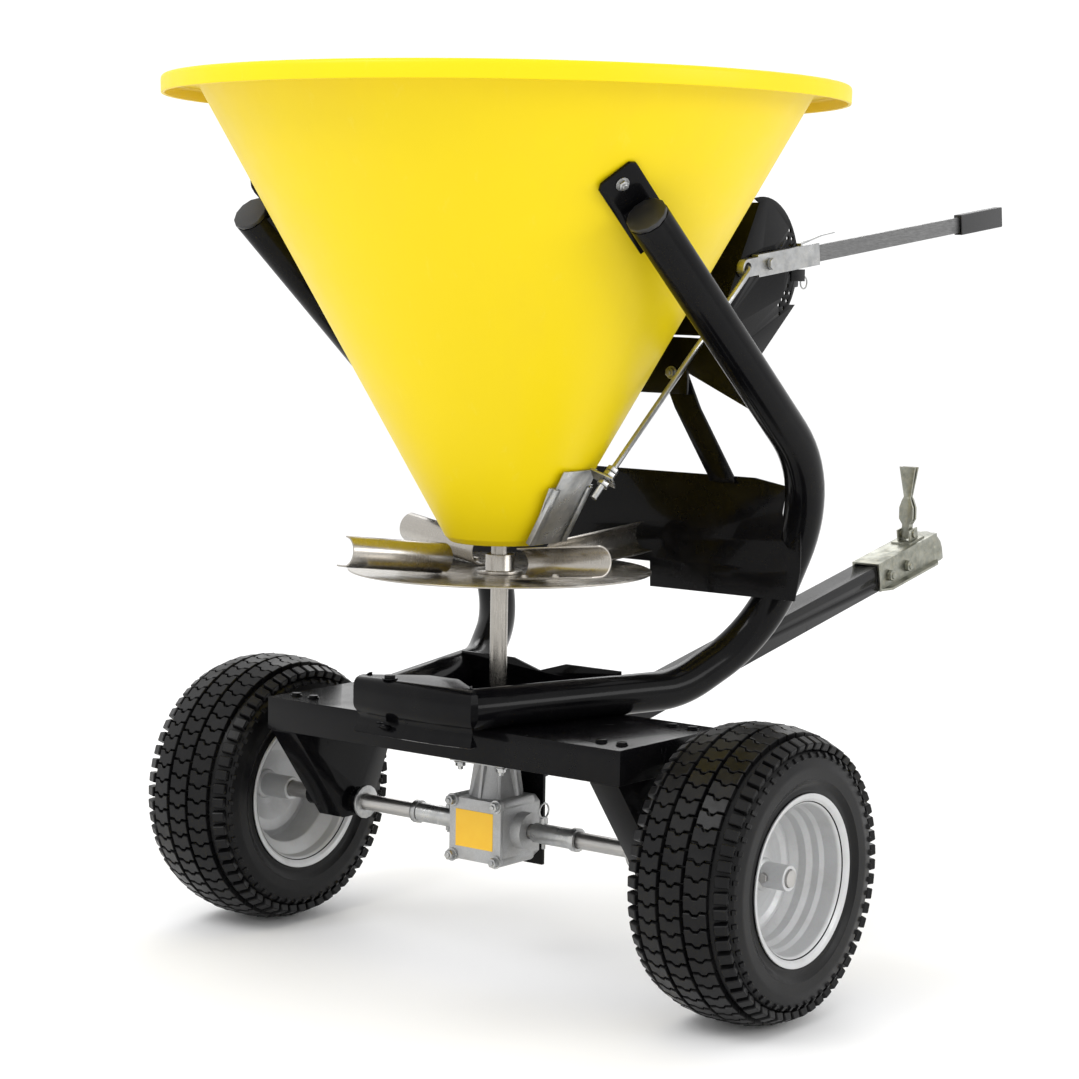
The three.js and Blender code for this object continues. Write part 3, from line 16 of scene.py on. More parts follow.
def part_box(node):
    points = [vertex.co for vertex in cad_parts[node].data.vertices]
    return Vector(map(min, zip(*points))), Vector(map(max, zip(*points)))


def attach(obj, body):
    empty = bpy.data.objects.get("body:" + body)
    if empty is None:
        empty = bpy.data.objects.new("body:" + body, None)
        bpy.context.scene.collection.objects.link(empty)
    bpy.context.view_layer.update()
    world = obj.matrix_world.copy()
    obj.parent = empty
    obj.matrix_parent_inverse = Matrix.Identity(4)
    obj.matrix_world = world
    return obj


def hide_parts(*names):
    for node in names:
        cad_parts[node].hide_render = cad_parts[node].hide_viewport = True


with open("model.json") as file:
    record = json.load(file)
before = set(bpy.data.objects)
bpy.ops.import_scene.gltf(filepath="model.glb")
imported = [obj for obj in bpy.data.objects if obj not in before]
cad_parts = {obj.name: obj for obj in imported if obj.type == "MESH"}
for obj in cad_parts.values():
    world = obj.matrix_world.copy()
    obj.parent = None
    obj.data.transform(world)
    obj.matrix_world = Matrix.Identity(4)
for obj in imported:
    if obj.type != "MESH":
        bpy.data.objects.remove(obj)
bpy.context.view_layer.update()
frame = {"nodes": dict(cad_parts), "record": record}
MM = 0.001

# %% [markdown]
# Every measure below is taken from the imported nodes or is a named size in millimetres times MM.
# The wheel axle is the machine's natural zero: most pieces are placed from it.

# %% Measures from the frame
def middle(node):
    low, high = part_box(node)
    return (Vector(low) + Vector(high)) / 2


def span(node):
    low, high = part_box(node)
    return Vector(high) - Vector(low)


AXLE = middle("cross_shaft")
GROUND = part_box("tyre_right")[0][2]


def place(x, y, z):
    """A point given in millimetres: forward of the axle, to the left, and above the ground."""
    return Vector((AXLE.x + x * MM, y * MM, GROUND + z * MM))


body_of_node = {node: body for body, nodes in frame["record"]["behaviour"]["bodies"].items()
                for node in nodes}
slot_of_node = {part["node"]: part["material_slot"] for part in frame["record"]["subparts"]}
print("axle at", [round(v, 4) for v in AXLE])

# %% [markdown]
# ## Camera, floor and light
# The camera stands behind the right wheel at a standing person's distance with a long lens, which
# keeps the hopper's rim a narrow ellipse. It is tipped down by six degrees and rolled by one.

# %% Camera
HEADING, PITCH, ROLL = math.radians(37.61), math.radians(-6.04), math.radians(0.96)
look = Vector((math.cos(HEADING) * math.cos(PITCH), math.sin(HEADING) * math.cos(PITCH), math.sin(PITCH)))
level = Vector((math.sin(HEADING), -math.cos(HEADING), 0))
upward = level.cross(look)
camera_x = math.cos(ROLL) * level + math.sin(ROLL) * upward
camera_y = math.cos(ROLL) * upward - math.sin(ROLL) * level
bpy.ops.object.camera_add(location=place(-2975.5, -2363, 1019.1))
camera = bpy.context.object
camera.rotation_euler = Matrix((camera_x, camera_y, -look)).transposed().to_euler()
camera.data.sensor_width = 36
camera.data.lens = 89.45
bpy.context.scene.camera = camera
print("camera at", [round(v, 3) for v in camera.location])

# %% [markdown]
# The studio is a pale floor and a white sky. Three large soft lamps do the shaping: one high on
# the camera's left, one low on the right that draws the long highlights down the black tubes, and
# one behind that lifts the far edges off the background.

# %% Floor and light
bpy.ops.mesh.primitive_plane_add(size=60, location=(0, 0, GROUND - 0.0005))
floor = bpy.context.object
floor.name = "studio_floor"
bpy.context.scene.view_settings.view_transform = "Standard"

world = bpy.data.worlds.new("studio")
bpy.context.scene.world = world
world.use_nodes = True
world.node_tree.nodes["Background"].inputs["Color"].default_value = (1, 1, 1, 1)
world.node_tree.nodes["Background"].inputs["Strength"].default_value = 1.1


def softbox(name, location, size, power, target=(0, 0, 0.6)):
    bpy.ops.object.light_add(type="AREA", location=location)
    lamp = bpy.context.object
    lamp.name = name
    lamp.data.shape = "RECTANGLE"
    lamp.data.size, lamp.data.size_y = size
    lamp.data.energy = power
    lamp.rotation_euler = (Vector(target) - Vector(location)).to_track_quat("-Z", "Y").to_euler()


softbox("key", (-3.6, 0.6, 3.8), (1.8, 1.8), 70)
softbox("side", (0.4, -4.2, 2.0), (2.6, 1.2), 45)
softbox("back", (3.6, 2.8, 3.2), (3.0, 2.0), 40)
print("lamps ready")

# %% [markdown]
# ## Finishes
# Every finish is built from nodes. Writing the shader maths as plain expressions keeps them
# readable, so a small class wraps a socket and adds the Math nodes that an expression asks for.

# %% Shader maths
class Value:
    """A number that varies over a surface."""

    def __init__(self, finish, socket):
        self.finish, self.socket = finish, socket

    def maths(self, operation, *others):
        return self.finish.node("ShaderNodeMath", {"operation": operation}, *others)

    def __add__(self, other):
        return self.maths("ADD", self, other)

    def __mul__(self, other):
        return self.maths("MULTIPLY", self, other)

    def __rsub__(self, other):
        return self.maths("SUBTRACT", other, self)

    __radd__, __rmul__ = __add__, __mul__


class Finish:
    """A material under construction: one method adds any node, the others are the recipes we repeat."""

    def __init__(self, name):
        self.material = bpy.data.materials.new(name)
        self.material.use_nodes = True
        self.tree = self.material.node_tree
        self.shader = self.tree.nodes["Principled BSDF"]
        self.place = self.node("ShaderNodeTexCoord", output="Object")

    def node(self, kind, settings=None, *inputs, output=0, **named):
        made = self.tree.nodes.new(kind)
        for key, value in (settings or {}).items():
            if key == "stops":
                ramp = made.color_ramp
                ramp.elements[0].position, ramp.elements[1].position = value[0][0], value[-1][0]
                for position, _ in value[1:-1]:
                    ramp.elements.new(position)
                for element, (_, colour) in zip(ramp.elements, value):
                    element.color = (*colour, 1) if len(colour) == 3 else colour
            else:
                setattr(made, key, value)
        for key, value in [*enumerate(inputs), *((k.replace("_", " "), v) for k, v in named.items())]:
            self.feed(made.inputs[key], value)
        return Value(self, made.outputs[output])

    def feed(self, socket, value):
        """A varying value is linked; a number or colour is set on the socket itself."""
        if isinstance(value, Value):
            self.tree.links.new(value.socket, socket)
        elif isinstance(value, tuple) and len(value) == 3 and len(socket.default_value) == 4:
            socket.default_value = (*value, 1)
        else:
            socket.default_value = value

    def noise(self, scale, detail=3, roughness=0.5, stretch=(1, 1, 1)):
        at = self.place
        if stretch != (1, 1, 1):
            at = self.node("ShaderNodeMapping", None, at, Scale=stretch)
        return self.node("ShaderNodeTexNoise", None, Vector=at, Scale=scale, Detail=detail,
                         Roughness=roughness)

    def cells(self, scale, output="Distance"):
        return self.node("ShaderNodeTexVoronoi", None, Vector=self.place, Scale=scale, output=output)

    def ramp(self, value, low, high, start=0.0, end=1.0):
        stops = [(low, (start,) * 3), (high, (end,) * 3)]
        return self.node("ShaderNodeValToRGB", {"stops": stops}, value)

    def blend(self, factor, first, second):
        made = self.node("ShaderNodeMix", {"data_type": "RGBA"}, output=2)
        for key, value in ((0, factor), (6, first), (7, second)):
            self.feed(made.socket.node.inputs[key], value)
        return made

    def bump(self, height, strength, depth):
        made = self.node("ShaderNodeBump", None, Strength=strength, Distance=depth, Height=height)
        self.tree.links.new(made.socket, self.shader.inputs["Normal"])

    def set(self, **sockets):
        for key, value in sockets.items():
            self.feed(self.shader.inputs[key.replace("_", " ")], value)
        return self.material


print("shader helpers ready")

# %% [markdown]
# **Hopper plastic.** Rotationally moulded polyethylene has a soft sheen and a faint orange peel.
# A broad noise drifts between two yellows, faint streaks run down the wall, and a fine noise
# roughens the surface.

# %% Yellow plastic
def yellow_plastic():
    f = Finish("hopper_yellow")
    drift = f.noise(2.2, 4)
    streaks = f.noise(7, 5, 0.6, (1, 1, 0.16))
    scuffs = f.ramp(f.noise(46, 6, 0.7, (1, 1, 0.35)), 0.60, 0.74)
    colour = f.blend(drift, (0.77, 0.575, 0.001), (0.83, 0.64, 0.002))
    colour = f.blend(f.ramp(streaks, 0.5, 0.75) * 0.22, colour, (0.74, 0.53, 0.02))
    colour = f.blend(scuffs * 0.20, colour, (0.86, 0.72, 0.10))
    f.bump(f.noise(420, 3, 0.6) + f.noise(60, 2) * 1.5, 0.10, 0.0006)
    return f.set(Base_Color=colour, Roughness=0.36 + f.noise(30, 4) * 0.16 + scuffs * 0.08, Coat_Weight=0.04,
                 Coat_Roughness=0.2, Specular_IOR_Level=0.22)


# %% [markdown]
# **Black enamel.** The frame is dipped or powder coated: nearly black, glossy, slightly wavy, with
# grey dust caught in a fine speckle and small dull rub marks.

# %% Black enamel
def black_enamel():
    f = Finish("black_enamel")
    specks = f.ramp(f.noise(620, 4, 0.7), 0.62, 0.80)
    haze = f.ramp(f.noise(13, 5, 0.6), 0.42, 0.75)
    rub = f.ramp(f.noise(34, 7, 0.72, (1, 1, 0.4)), 0.63, 0.72)
    colour = f.blend(haze * 0.30, (0.0025, 0.0025, 0.003), (0.011, 0.0105, 0.010))
    colour = f.blend(specks * 0.10, colour, (0.10, 0.095, 0.09))
    f.bump(f.noise(150, 3, 0.55) + f.noise(900, 2) * 0.25, 0.14, 0.0005)
    return f.set(Base_Color=colour, Roughness=0.16 + haze * 0.10 + rub * 0.22 + specks * 0.1,
                 Coat_Weight=0.09 - rub * 0.06,
                 Coat_Roughness=0.04, Specular_IOR_Level=0.07)


# %% [markdown]
# **Zinc plate.** Bright zinc is a cool grey metal with cloudy patches where the bath was uneven.
# The coupler's thicker plating is passivated, so it drifts between olive and straw.

# %% Zinc
def zinc(name="zinc_plate", base=(0.46, 0.465, 0.465), cloud=(0.31, 0.315, 0.32), tint=(0.50, 0.49, 0.45),
         rough=0.27):
    f = Finish(name)
    clouds = f.ramp(f.noise(38, 6, 0.62), 0.38, 0.66)
    blooms = f.ramp(f.noise(120, 4, 0.6), 0.45, 0.7)
    spots = f.ramp(f.noise(800, 3, 0.7), 0.64, 0.78)
    colour = f.blend(clouds, base, cloud)
    colour = f.blend(blooms * 0.45, colour, tint)
    colour = f.blend(spots * 0.35, colour, (0.22, 0.21, 0.20))
    f.bump(f.noise(500, 4, 0.6) + clouds * 0.4, 0.10, 0.0004)
    return f.set(Base_Color=colour, Metallic=0.94 - spots * 0.3,
                 Roughness=rough + clouds * 0.16 + spots * 0.12)


# %% [markdown]
# **Stainless steel.** The disc and vanes are rolled sheet. Fine parallel scratches stretch the
# highlights, so the noise is squeezed along one direction.

# %% Stainless, bare steel and bronze
def rolled_metal(name, base, shade, rough, scratch=(1, 24, 24)):
    f = Finish(name)
    scratches = f.noise(60, 5, 0.7, scratch)
    patches = f.ramp(f.noise(16, 5, 0.6), 0.4, 0.7)
    colour = f.blend(f.ramp(scratches, 0.35, 0.65), base, shade)
    colour = f.blend(patches * 0.4, colour, tuple(c * 0.82 for c in base))
    f.bump(scratches, 0.08, 0.0003)
    return f.set(Base_Color=colour, Metallic=0.96,
                 Roughness=rough + patches * 0.10 + f.ramp(scratches, 0.4, 0.7) * 0.08)


# %% [markdown]
# **Rim paint.** Silver-grey lacquer over pressed steel: flakes give a fine sparkle, and dust lies
# in the well.

# %% Rim paint and cast metal
def rim_paint():
    f = Finish("rim_silver")
    flakes = f.cells(1400, output="Color")
    dirt = f.ramp(f.noise(24, 6, 0.65), 0.48, 0.75)
    colour = f.blend(0.06, (0.50, 0.505, 0.51), flakes)
    colour = f.blend(dirt * 0.35, colour, (0.34, 0.33, 0.315))
    f.bump(f.noise(300, 3), 0.08, 0.0004)
    return f.set(Base_Color=colour, Metallic=0.32, Roughness=0.40 + dirt * 0.18, Coat_Weight=0.15)


def cast_metal():
    f = Finish("gearbox_casting")
    grain = f.noise(520, 5, 0.68)
    stains = f.ramp(f.noise(30, 6, 0.62), 0.46, 0.72)
    colour = f.blend(f.ramp(grain, 0.35, 0.7), (0.36, 0.365, 0.37), (0.45, 0.45, 0.45))
    colour = f.blend(stains * 0.5, colour, (0.33, 0.32, 0.30))
    f.bump(grain + f.noise(110, 3) * 1.2, 0.35, 0.0007)
    return f.set(Base_Color=colour, Metallic=0.55, Roughness=0.46 + stains * 0.12)


# %% [markdown]
# **Tyre rubber.** New rubber is nearly black, with a faint bloom of dust and a slight grain from
# the mould.

# %% Rubber and black plastic
def rubber():
    f = Finish("tyre_rubber")
    dust = f.ramp(f.noise(20, 6, 0.66), 0.42, 0.78)
    grain = f.noise(700, 4, 0.6)
    colour = f.blend(dust * 0.55, (0.0035, 0.0035, 0.004), (0.014, 0.0135, 0.013))
    f.bump(grain, 0.22, 0.0006)
    return f.set(Base_Color=colour, Roughness=0.30 + dust * 0.24, Specular_IOR_Level=0.17)


def black_plastic():
    f = Finish("black_plastic")
    grain = f.cells(900)
    worn = f.ramp(f.noise(60, 5, 0.6), 0.55, 0.8)
    f.bump(grain, 0.20, 0.0005)
    return f.set(Base_Color=f.blend(worn, (0.012, 0.012, 0.013), (0.035, 0.035, 0.036)),
                 Roughness=0.42 + worn * 0.2)


# %% [markdown]
# **Label.** A plain orange sticker on the gearbox: satin film with a faint cloud in its colour.

# %% Label film and weld metal
def label_film():
    f = Finish("label_film")
    cloud = f.noise(50, 3)
    f.bump(f.noise(300, 2), 0.05, 0.0003)
    return f.set(Base_Color=f.blend(cloud, (0.84, 0.46, 0.01), (0.88, 0.53, 0.02)),
                 Roughness=0.32 + cloud * 0.1)


FINISH = {
    "yellow_plastic": yellow_plastic(),
    "black_paint": black_enamel(),
    "zinc_plate": zinc(),
    "stainless": rolled_metal("stainless_sheet", (0.46, 0.435, 0.395), (0.34, 0.32, 0.29), 0.20, (22, 22, 1)),
    "silver_paint": rim_paint(),
    "cast_alloy": cast_metal(),
    "tyre_rubber": rubber(),
    "bare_steel": rolled_metal("turned_steel", (0.50, 0.49, 0.475), (0.38, 0.37, 0.36), 0.28, (30, 1, 30)),
    "black_plastic": black_plastic(),
    "bronze": rolled_metal("bush_bronze", (0.60, 0.40, 0.16), (0.48, 0.30, 0.11), 0.3),
}
OLIVE_ZINC = zinc("olive_zinc", (0.33, 0.335, 0.29), (0.20, 0.205, 0.175), (0.42, 0.39, 0.29), 0.30)
LABEL = label_film()
LEVER_STEEL = rolled_metal("lever_steel", (0.22, 0.22, 0.22), (0.13, 0.13, 0.13), 0.30, (1, 9, 9))


def pale_floor():
    f = Finish("pale_floor")
    return f.set(Base_Color=f.blend(f.noise(2.5, 4), (0.925, 0.925, 0.925), (0.945, 0.945, 0.945)),
                 Roughness=0.7)


floor.data.materials.append(pale_floor())
print("finishes", len(FINISH) + 3)

# %% [markdown]
# Every CAD node wears its slot's finish from the start. Those whose shape is already right keep
# it, and the rest are hidden later by the piece that replaces them.

# %% Dress the CAD nodes
for node, piece in frame["nodes"].items():
    piece.data.materials.clear()
    piece.data.materials.append(FINISH[slot_of_node[node]])
for node in ("coupler_body", "latch_lever", "latch_jaw"):
    frame["nodes"][node].data.materials[0] = OLIVE_ZINC

# %% [markdown]
# ## Modelling tools
# These few helpers clear the selection, work in edit mode, bevel, join, copy and mirror pieces, and
# finish a piece by giving it a name, a material and a body.

# %% Modelling helpers
def clear():
    if bpy.context.mode != "OBJECT":
        bpy.ops.object.mode_set(mode="OBJECT")
    bpy.ops.object.select_all(action="DESELECT")


def edit(piece):
    clear()
    bpy.context.view_layer.objects.active = piece
    piece.select_set(True)
    bpy.ops.object.mode_set(mode="EDIT")
    bpy.ops.mesh.select_mode(type="VERT")
    bpy.ops.mesh.select_all(action="SELECT")


def apply_place(piece):
    """The piece's place goes into its mesh, and its object returns to the origin."""
    clear()
    bpy.context.view_layer.objects.active = piece
    piece.select_set(True)
    bpy.ops.object.transform_apply(location=True, rotation=True, scale=True)


def bevel(piece, width, segments=2, angle=30):
    clear()
    bpy.context.view_layer.objects.active = piece
    made = piece.modifiers.new("edges", "BEVEL")
    made.width, made.segments = width, segments
    made.limit_method, made.angle_limit = "ANGLE", math.radians(angle)
    made.harden_normals = False
    bpy.ops.object.modifier_apply(modifier=made.name)


def finish_piece(piece, name, body, slot, stands_for=(), material=None, smooth=32):
    """Names the piece, smooths it, dresses it and lets it ride on its body."""
    apply_place(piece)
    piece.name = piece.data.name = name
    if smooth:
        bpy.ops.object.shade_smooth_by_angle(angle=math.radians(smooth))
    piece.data.materials.clear()
    piece.data.materials.append(material or FINISH[slot])
    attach(piece, body)
    if stands_for:
        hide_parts(*stands_for)
    return piece


def tidy_shell(piece):
    edit(piece)
    bpy.ops.mesh.remove_doubles(threshold=1e-5)
    bpy.ops.mesh.normals_make_consistent(inside=False)
    bpy.ops.object.mode_set(mode="OBJECT")


def join(pieces):
    clear()
    for piece in pieces:
        piece.select_set(True)
    bpy.context.view_layer.objects.active = pieces[0]
    bpy.ops.object.join()
    return pieces[0]


def copies(piece, matrices):
    """One joined piece from many copies of a model, each copy with its own mesh."""
    made = []
    for matrix in matrices:
        copy = bpy.data.objects.new(piece.name, piece.data.copy())
        copy.data.transform(matrix)
        bpy.context.collection.objects.link(copy)
        made.append(copy)
    bpy.data.objects.remove(piece)
    return join(made)


def mirrored(piece):
    """A left-hand twin of a right-hand piece."""
    copy = bpy.data.objects.new(piece.name, piece.data.copy())
    bpy.context.collection.objects.link(copy)
    copy.data.transform(Matrix.Diagonal((1, -1, 1, 1)))
    edit(copy)
    bpy.ops.mesh.flip_normals()
    bpy.ops.object.mode_set(mode="OBJECT")
    return copy


print("helpers ready")

# %% [markdown]
# **Turned pieces.** A tyre, a rim or a hopper is one profile spun about its axis. The profile
# starts as a single vertex and is extruded from corner to corner. Named corner radii are turned
# into short arcs first, because real pressings and mouldings have no sharp corners.

# %% Profile and spin
def rounded(corners, closed=True, steps=5):
    """Corners are (radius from axis, station, corner radius)."""
    points = []
    count = len(corners)
    for i, (r, s, bend) in enumerate(corners):
        here = Vector((r, s))
        if bend == 0 or (not closed and i in (0, count - 1)):
            points.append(here)
            continue
        before = Vector(corners[i - 1][:2]) - here
        after = Vector(corners[(i + 1) % count][:2]) - here
        half = before.angle(after) / 2
        reach = min(bend / math.tan(half), before.length * 0.48, after.length * 0.48)
        start, end = here + before.normalized() * reach, here + after.normalized() * reach
        for k in range(steps + 1):
            t = k / steps
            points.append((1 - t) ** 2 * start + 2 * t * (1 - t) * here + t * t * end)
    return points


def spun(corners, axis, at, sides=96, closed=True):
    """Spins a profile about an axis ('Y' or 'Z') through a point."""
    points = rounded([(r * MM, s * MM, b * MM) for r, s, b in corners], closed)
    lift = (lambda p: Vector((0, p.y, p.x))) if axis == "Y" else (lambda p: Vector((p.x, 0, p.y)))
    places = [at + lift(p) for p in points]
    clear()
    bpy.ops.mesh.primitive_plane_add(size=0.01, location=places[0])
    piece = bpy.context.object
    apply_place(piece)
    edit(piece)
    bpy.ops.mesh.merge(type="CENTER")
    for start, end in zip(places, places[1:] + places[:1] * closed):
        bpy.ops.mesh.extrude_vertices_move(TRANSFORM_OT_translate={"value": end - start})
    bpy.ops.mesh.select_all(action="SELECT")
    bpy.ops.mesh.spin(steps=sides, angle=2 * math.pi, center=at, axis=(0, 1, 0) if axis == "Y" else (0, 0, 1))
    bpy.ops.mesh.select_all(action="SELECT")
    bpy.ops.mesh.remove_doubles(threshold=2e-6)
    bpy.ops.mesh.normals_make_consistent(inside=False)
    bpy.ops.object.mode_set(mode="OBJECT")
    return piece


# %% [markdown]
# **Refined nodes.** Folded sheet and machined blocks have the right shape in CAD already, but
# their edges are knife sharp. A copy is merged, its flat faces are dissolved, and a small bevel
# gives each edge the highlight that makes sheet metal read as metal.

# %% Copy of a CAD node with softened edges
def refined(node, width=0.8, segments=2, angle=34, material=None, smooth=32):
    source = frame["nodes"][node]
    piece = bpy.data.objects.new(node, source.data.copy())
    bpy.context.collection.objects.link(piece)
    edit(piece)
    bpy.ops.mesh.remove_doubles(threshold=2e-5)
    bpy.ops.mesh.dissolve_limited(angle_limit=math.radians(1.2))
    bpy.ops.object.mode_set(mode="OBJECT")
    if width:
        bevel(piece, width * MM, segments, angle)
    return finish_piece(piece, node + "_finished", body_of_node[node], slot_of_node[node], (node,), material,
                        smooth)


print("profile and copy tools ready")

# %% [markdown]
# ## Tyres
# A turf tyre is a smooth carcass with a shallow block tread that spares the grass: three staggered
# rows of nested blocks across the crown and a row of square lugs on each shoulder. The
# carcass is a spun profile. One block is modelled and copied round the crown, each copy leaning
# with the crown's curve.

# %% Tyre carcass
TYRE_RADIUS = span("tyre_right").z / 2 / MM
TYRE_HALF = span("tyre_right").y / 2 / MM
RIM_HALF = span("rim_right").y / 2 / MM
FLANGE_R = span("rim_right").z / 2 / MM
BEAD_R = 104.6
TREAD_DEPTH = 7.5
WHEEL = middle("tyre_left")


def crown(y):
    """Radius of the tread surface at a distance from the tyre's middle."""
    share = abs(y) / TYRE_HALF
    return TYRE_RADIUS - 0.9 - 21 * share ** 2.4 - 14 * max(0, share - 0.82) / 0.18


def carcass():
    base = [(crown(y) - TREAD_DEPTH, y, 0) for y in (-72, -60, -45, -30, -15, 0, 15, 30, 45, 60, 72)]
    bead = RIM_HALF - 5
    side = [(TYRE_RADIUS - 50, TYRE_HALF - 0.5, 24), (TYRE_RADIUS - 66, TYRE_HALF - 1.5, 0),
            (TYRE_RADIUS - 67.5, TYRE_HALF - 3, 0),
            (FLANGE_R + 10, TYRE_HALF - 8, 10), (FLANGE_R + 4, bead + 2, 3), (BEAD_R, bead, 3),
            (BEAD_R, bead - 14, 3),
            (FLANGE_R + 6, TYRE_HALF - 20, 12), (TYRE_RADIUS - 30, TYRE_HALF - 18, 20),
            (TYRE_RADIUS - 20, 40, 10)]
    right = [(r, -y, b) for r, y, b in reversed(side)]
    return spun([*base, (crown(78) - 3, 78, 3), *side, *right, (crown(78) - 3, -78, 3)], "Y", WHEEL, 120)


tyre = carcass()
print("carcass", len(tyre.data.polygons), "faces")

# %% [markdown]
# A crown block is wide and short, with a bump in one long edge and a notch in the other, so that
# each block nests into the next and the grooves between them zigzag. Its outline starts as a
# circle of vertices that are set in place, then the face is drawn up and narrowed a little, as a
# mould needs to let it go. The shoulder lugs are plain squares.

# %% Tread blocks
def tread_block(outline, height, taper=0.92, edge=0.7):
    clear()
    bpy.ops.mesh.primitive_circle_add(vertices=len(outline), radius=1, fill_type="NGON")
    block = bpy.context.object
    for vertex, (across, along) in zip(block.data.vertices, outline):
        vertex.co = (along * MM, across * MM, 0)
    edit(block)
    bpy.ops.mesh.extrude_region_move(TRANSFORM_OT_translate={"value": (0, 0, height * MM)})
    bpy.ops.transform.resize(value=(taper, 1 - (1 - taper) / 2, 1))
    bpy.ops.mesh.select_all(action="SELECT")
    bpy.ops.mesh.normals_make_consistent(inside=False)
    bpy.ops.object.mode_set(mode="OBJECT")
    bevel(block, edge * MM, 1, 50)
    return block


def around(y, count, phase, sink=1.2):
    """Places for blocks round the tyre at one distance from its middle."""
    step = 1.0
    lean = math.atan2(crown(y + step) - crown(y - step), 2 * step)
    foot = (crown(y) - TREAD_DEPTH - sink) * MM
    for i in range(count):
        turn = Matrix.Rotation((i + phase) / count * 2 * math.pi, 4, "Y")
        yield (Matrix.Translation(WHEEL) @ turn @ Matrix.Translation((0, y * MM, foot))
               @ Matrix.Rotation(lean, 4, "X"))


BLOCKS_ROUND = 56
BLOCK_PITCH = 2 * math.pi * TYRE_RADIUS / BLOCKS_ROUND
GROOVE = 2.6
half, long, bump = 16.6, BLOCK_PITCH - GROOVE, 5.0
chevron = [(-half, 0), (-half * 0.45, 0), (-half * 0.2, -bump), (half * 0.2, -bump), (half * 0.45, 0),
           (half, 0),
           (half, long), (half * 0.45, long), (half * 0.2, long - bump), (-half * 0.2, long - bump),
           (-half * 0.45, long), (-half, long)]
square = [(-10, 0), (10, 0), (10, BLOCK_PITCH * 0.72), (-10, BLOCK_PITCH * 0.72)]
crown_blocks = copies(tread_block(chevron, TREAD_DEPTH + 1.2),
                      [m for y, phase in ((0, 0.0), (35.8, 0.5), (-35.8, 0.5))
                       for m in around(y, BLOCKS_ROUND, phase)])
shoulder_blocks = copies(tread_block(square, TREAD_DEPTH + 3.2, 0.86, 1.2),
                         [m for side in (-1, 1) for m in around(side * 65.5, BLOCKS_ROUND, 0.0, 3.2)])
rib_blocks = copies(tread_block([(-4, 0), (4, 0), (4, BLOCK_PITCH * 0.34), (-4, BLOCK_PITCH * 0.34)], 6, 0.8,
                                0.6),
                    [m for side in (-1, 1) for m in around(side * 75.0, BLOCKS_ROUND, 0.2, 2.2)])
tyre = join([tyre, crown_blocks, shoulder_blocks, rib_blocks])
tyre_twin = mirrored(tyre)
tyre_left = finish_piece(tyre, "turf_tyre_left", "axle", "tyre_rubber", ("tyre_left",), smooth=30)
finish_piece(tyre_twin, "turf_tyre_right", "axle", "tyre_rubber", ("tyre_right",), smooth=30)
print("tyre", len(tyre_left.data.polygons), "faces each")

# %% [markdown]
# ## Rims
# The rim is pressed from sheet: rolled flanges hold the beads, the barrel steps down twice to a
# drop centre, and a dished disc carries the hub tube. The outer side is deep, because the disc
# sits well inboard of the flange.

# %% Rim
HUB_R, HUB_BORE = 17.5, 12.4
HUB_END = 55.5
H = RIM_HALF
rim_barrel = spun([
    (FLANGE_R, -H, 1.5), (FLANGE_R, -H + 3.0, 1.5), (FLANGE_R - 5, -H + 3.6, 3), (104, -H + 9, 4),
    (103.6, -H + 22, 3),
    (85, -H + 34, 5), (84.5, 2, 5), (92, 13, 4), (93.5, 24, 3), (99, 31, 4), (100, 41, 3), (103.8, 47, 4),
    (104, H - 9, 4),
    (FLANGE_R - 5, H - 3.6, 3), (FLANGE_R, H - 3.0, 1.5), (FLANGE_R, H, 1.5), (FLANGE_R - 2.4, H, 1.6),
    (FLANGE_R - 7, H - 1.8, 6),
    (101.6, H - 9, 7), (100.4, 47, 4), (96.8, 41, 3), (95.8, 31, 4), (90.3, 24, 3), (88.8, 13, 4),
    (81.3, 2, 5), (81.8, -H + 35, 5),
    (100.4, -H + 23, 3), (101.6, -H + 9, 7), (FLANGE_R - 7, -H + 1.8, 6), (FLANGE_R - 2.4, -H, 1.6)], "Y",
    WHEEL, 120)
rim_disc = spun([
    (HUB_R - 1, 10, 0), (HUB_R + 5, 10, 3), (HUB_R + 13, 7, 5), (54, -5, 8), (70, -6.5, 6), (78, -2, 4),
    (82.4, -1.5, 0),
    (82.4, 2, 0), (77, 1.5, 4), (69, -3, 6), (54, -1.5, 8), (HUB_R + 14, 10.5, 5), (HUB_R + 5, 13.5, 3),
    (HUB_R - 1, 13.5, 0)],
    "Y", WHEEL, 96)
hub_tube = spun([(HUB_BORE, -46, 1), (HUB_R, -46, 1.5), (HUB_R, HUB_END, 1.5), (HUB_BORE, HUB_END, 1)], "Y",
                WHEEL, 56)
hub_weld = spun([(HUB_R - 0.5, 12, 0), (HUB_R + 5.5, 13, 2), (HUB_R + 4, 16, 2.5), (HUB_R - 0.5, 19, 1)],
                "Y", WHEEL, 64)
hub_weld_back = spun([(HUB_R - 0.5, 11, 0), (HUB_R + 6, 10.5, 2), (HUB_R + 4, 6, 2.5), (HUB_R - 0.5, 4, 1)],
                     "Y", WHEEL, 64)
print("rim parts", sum(len(p.data.polygons) for p in (rim_barrel, rim_disc, hub_tube, hub_weld)), "faces")

# %% [markdown]
# The valve is a black stem with a cap, seated in the barrel's slope and pointing out of the dish.
# It is a short spun profile, tipped into place.

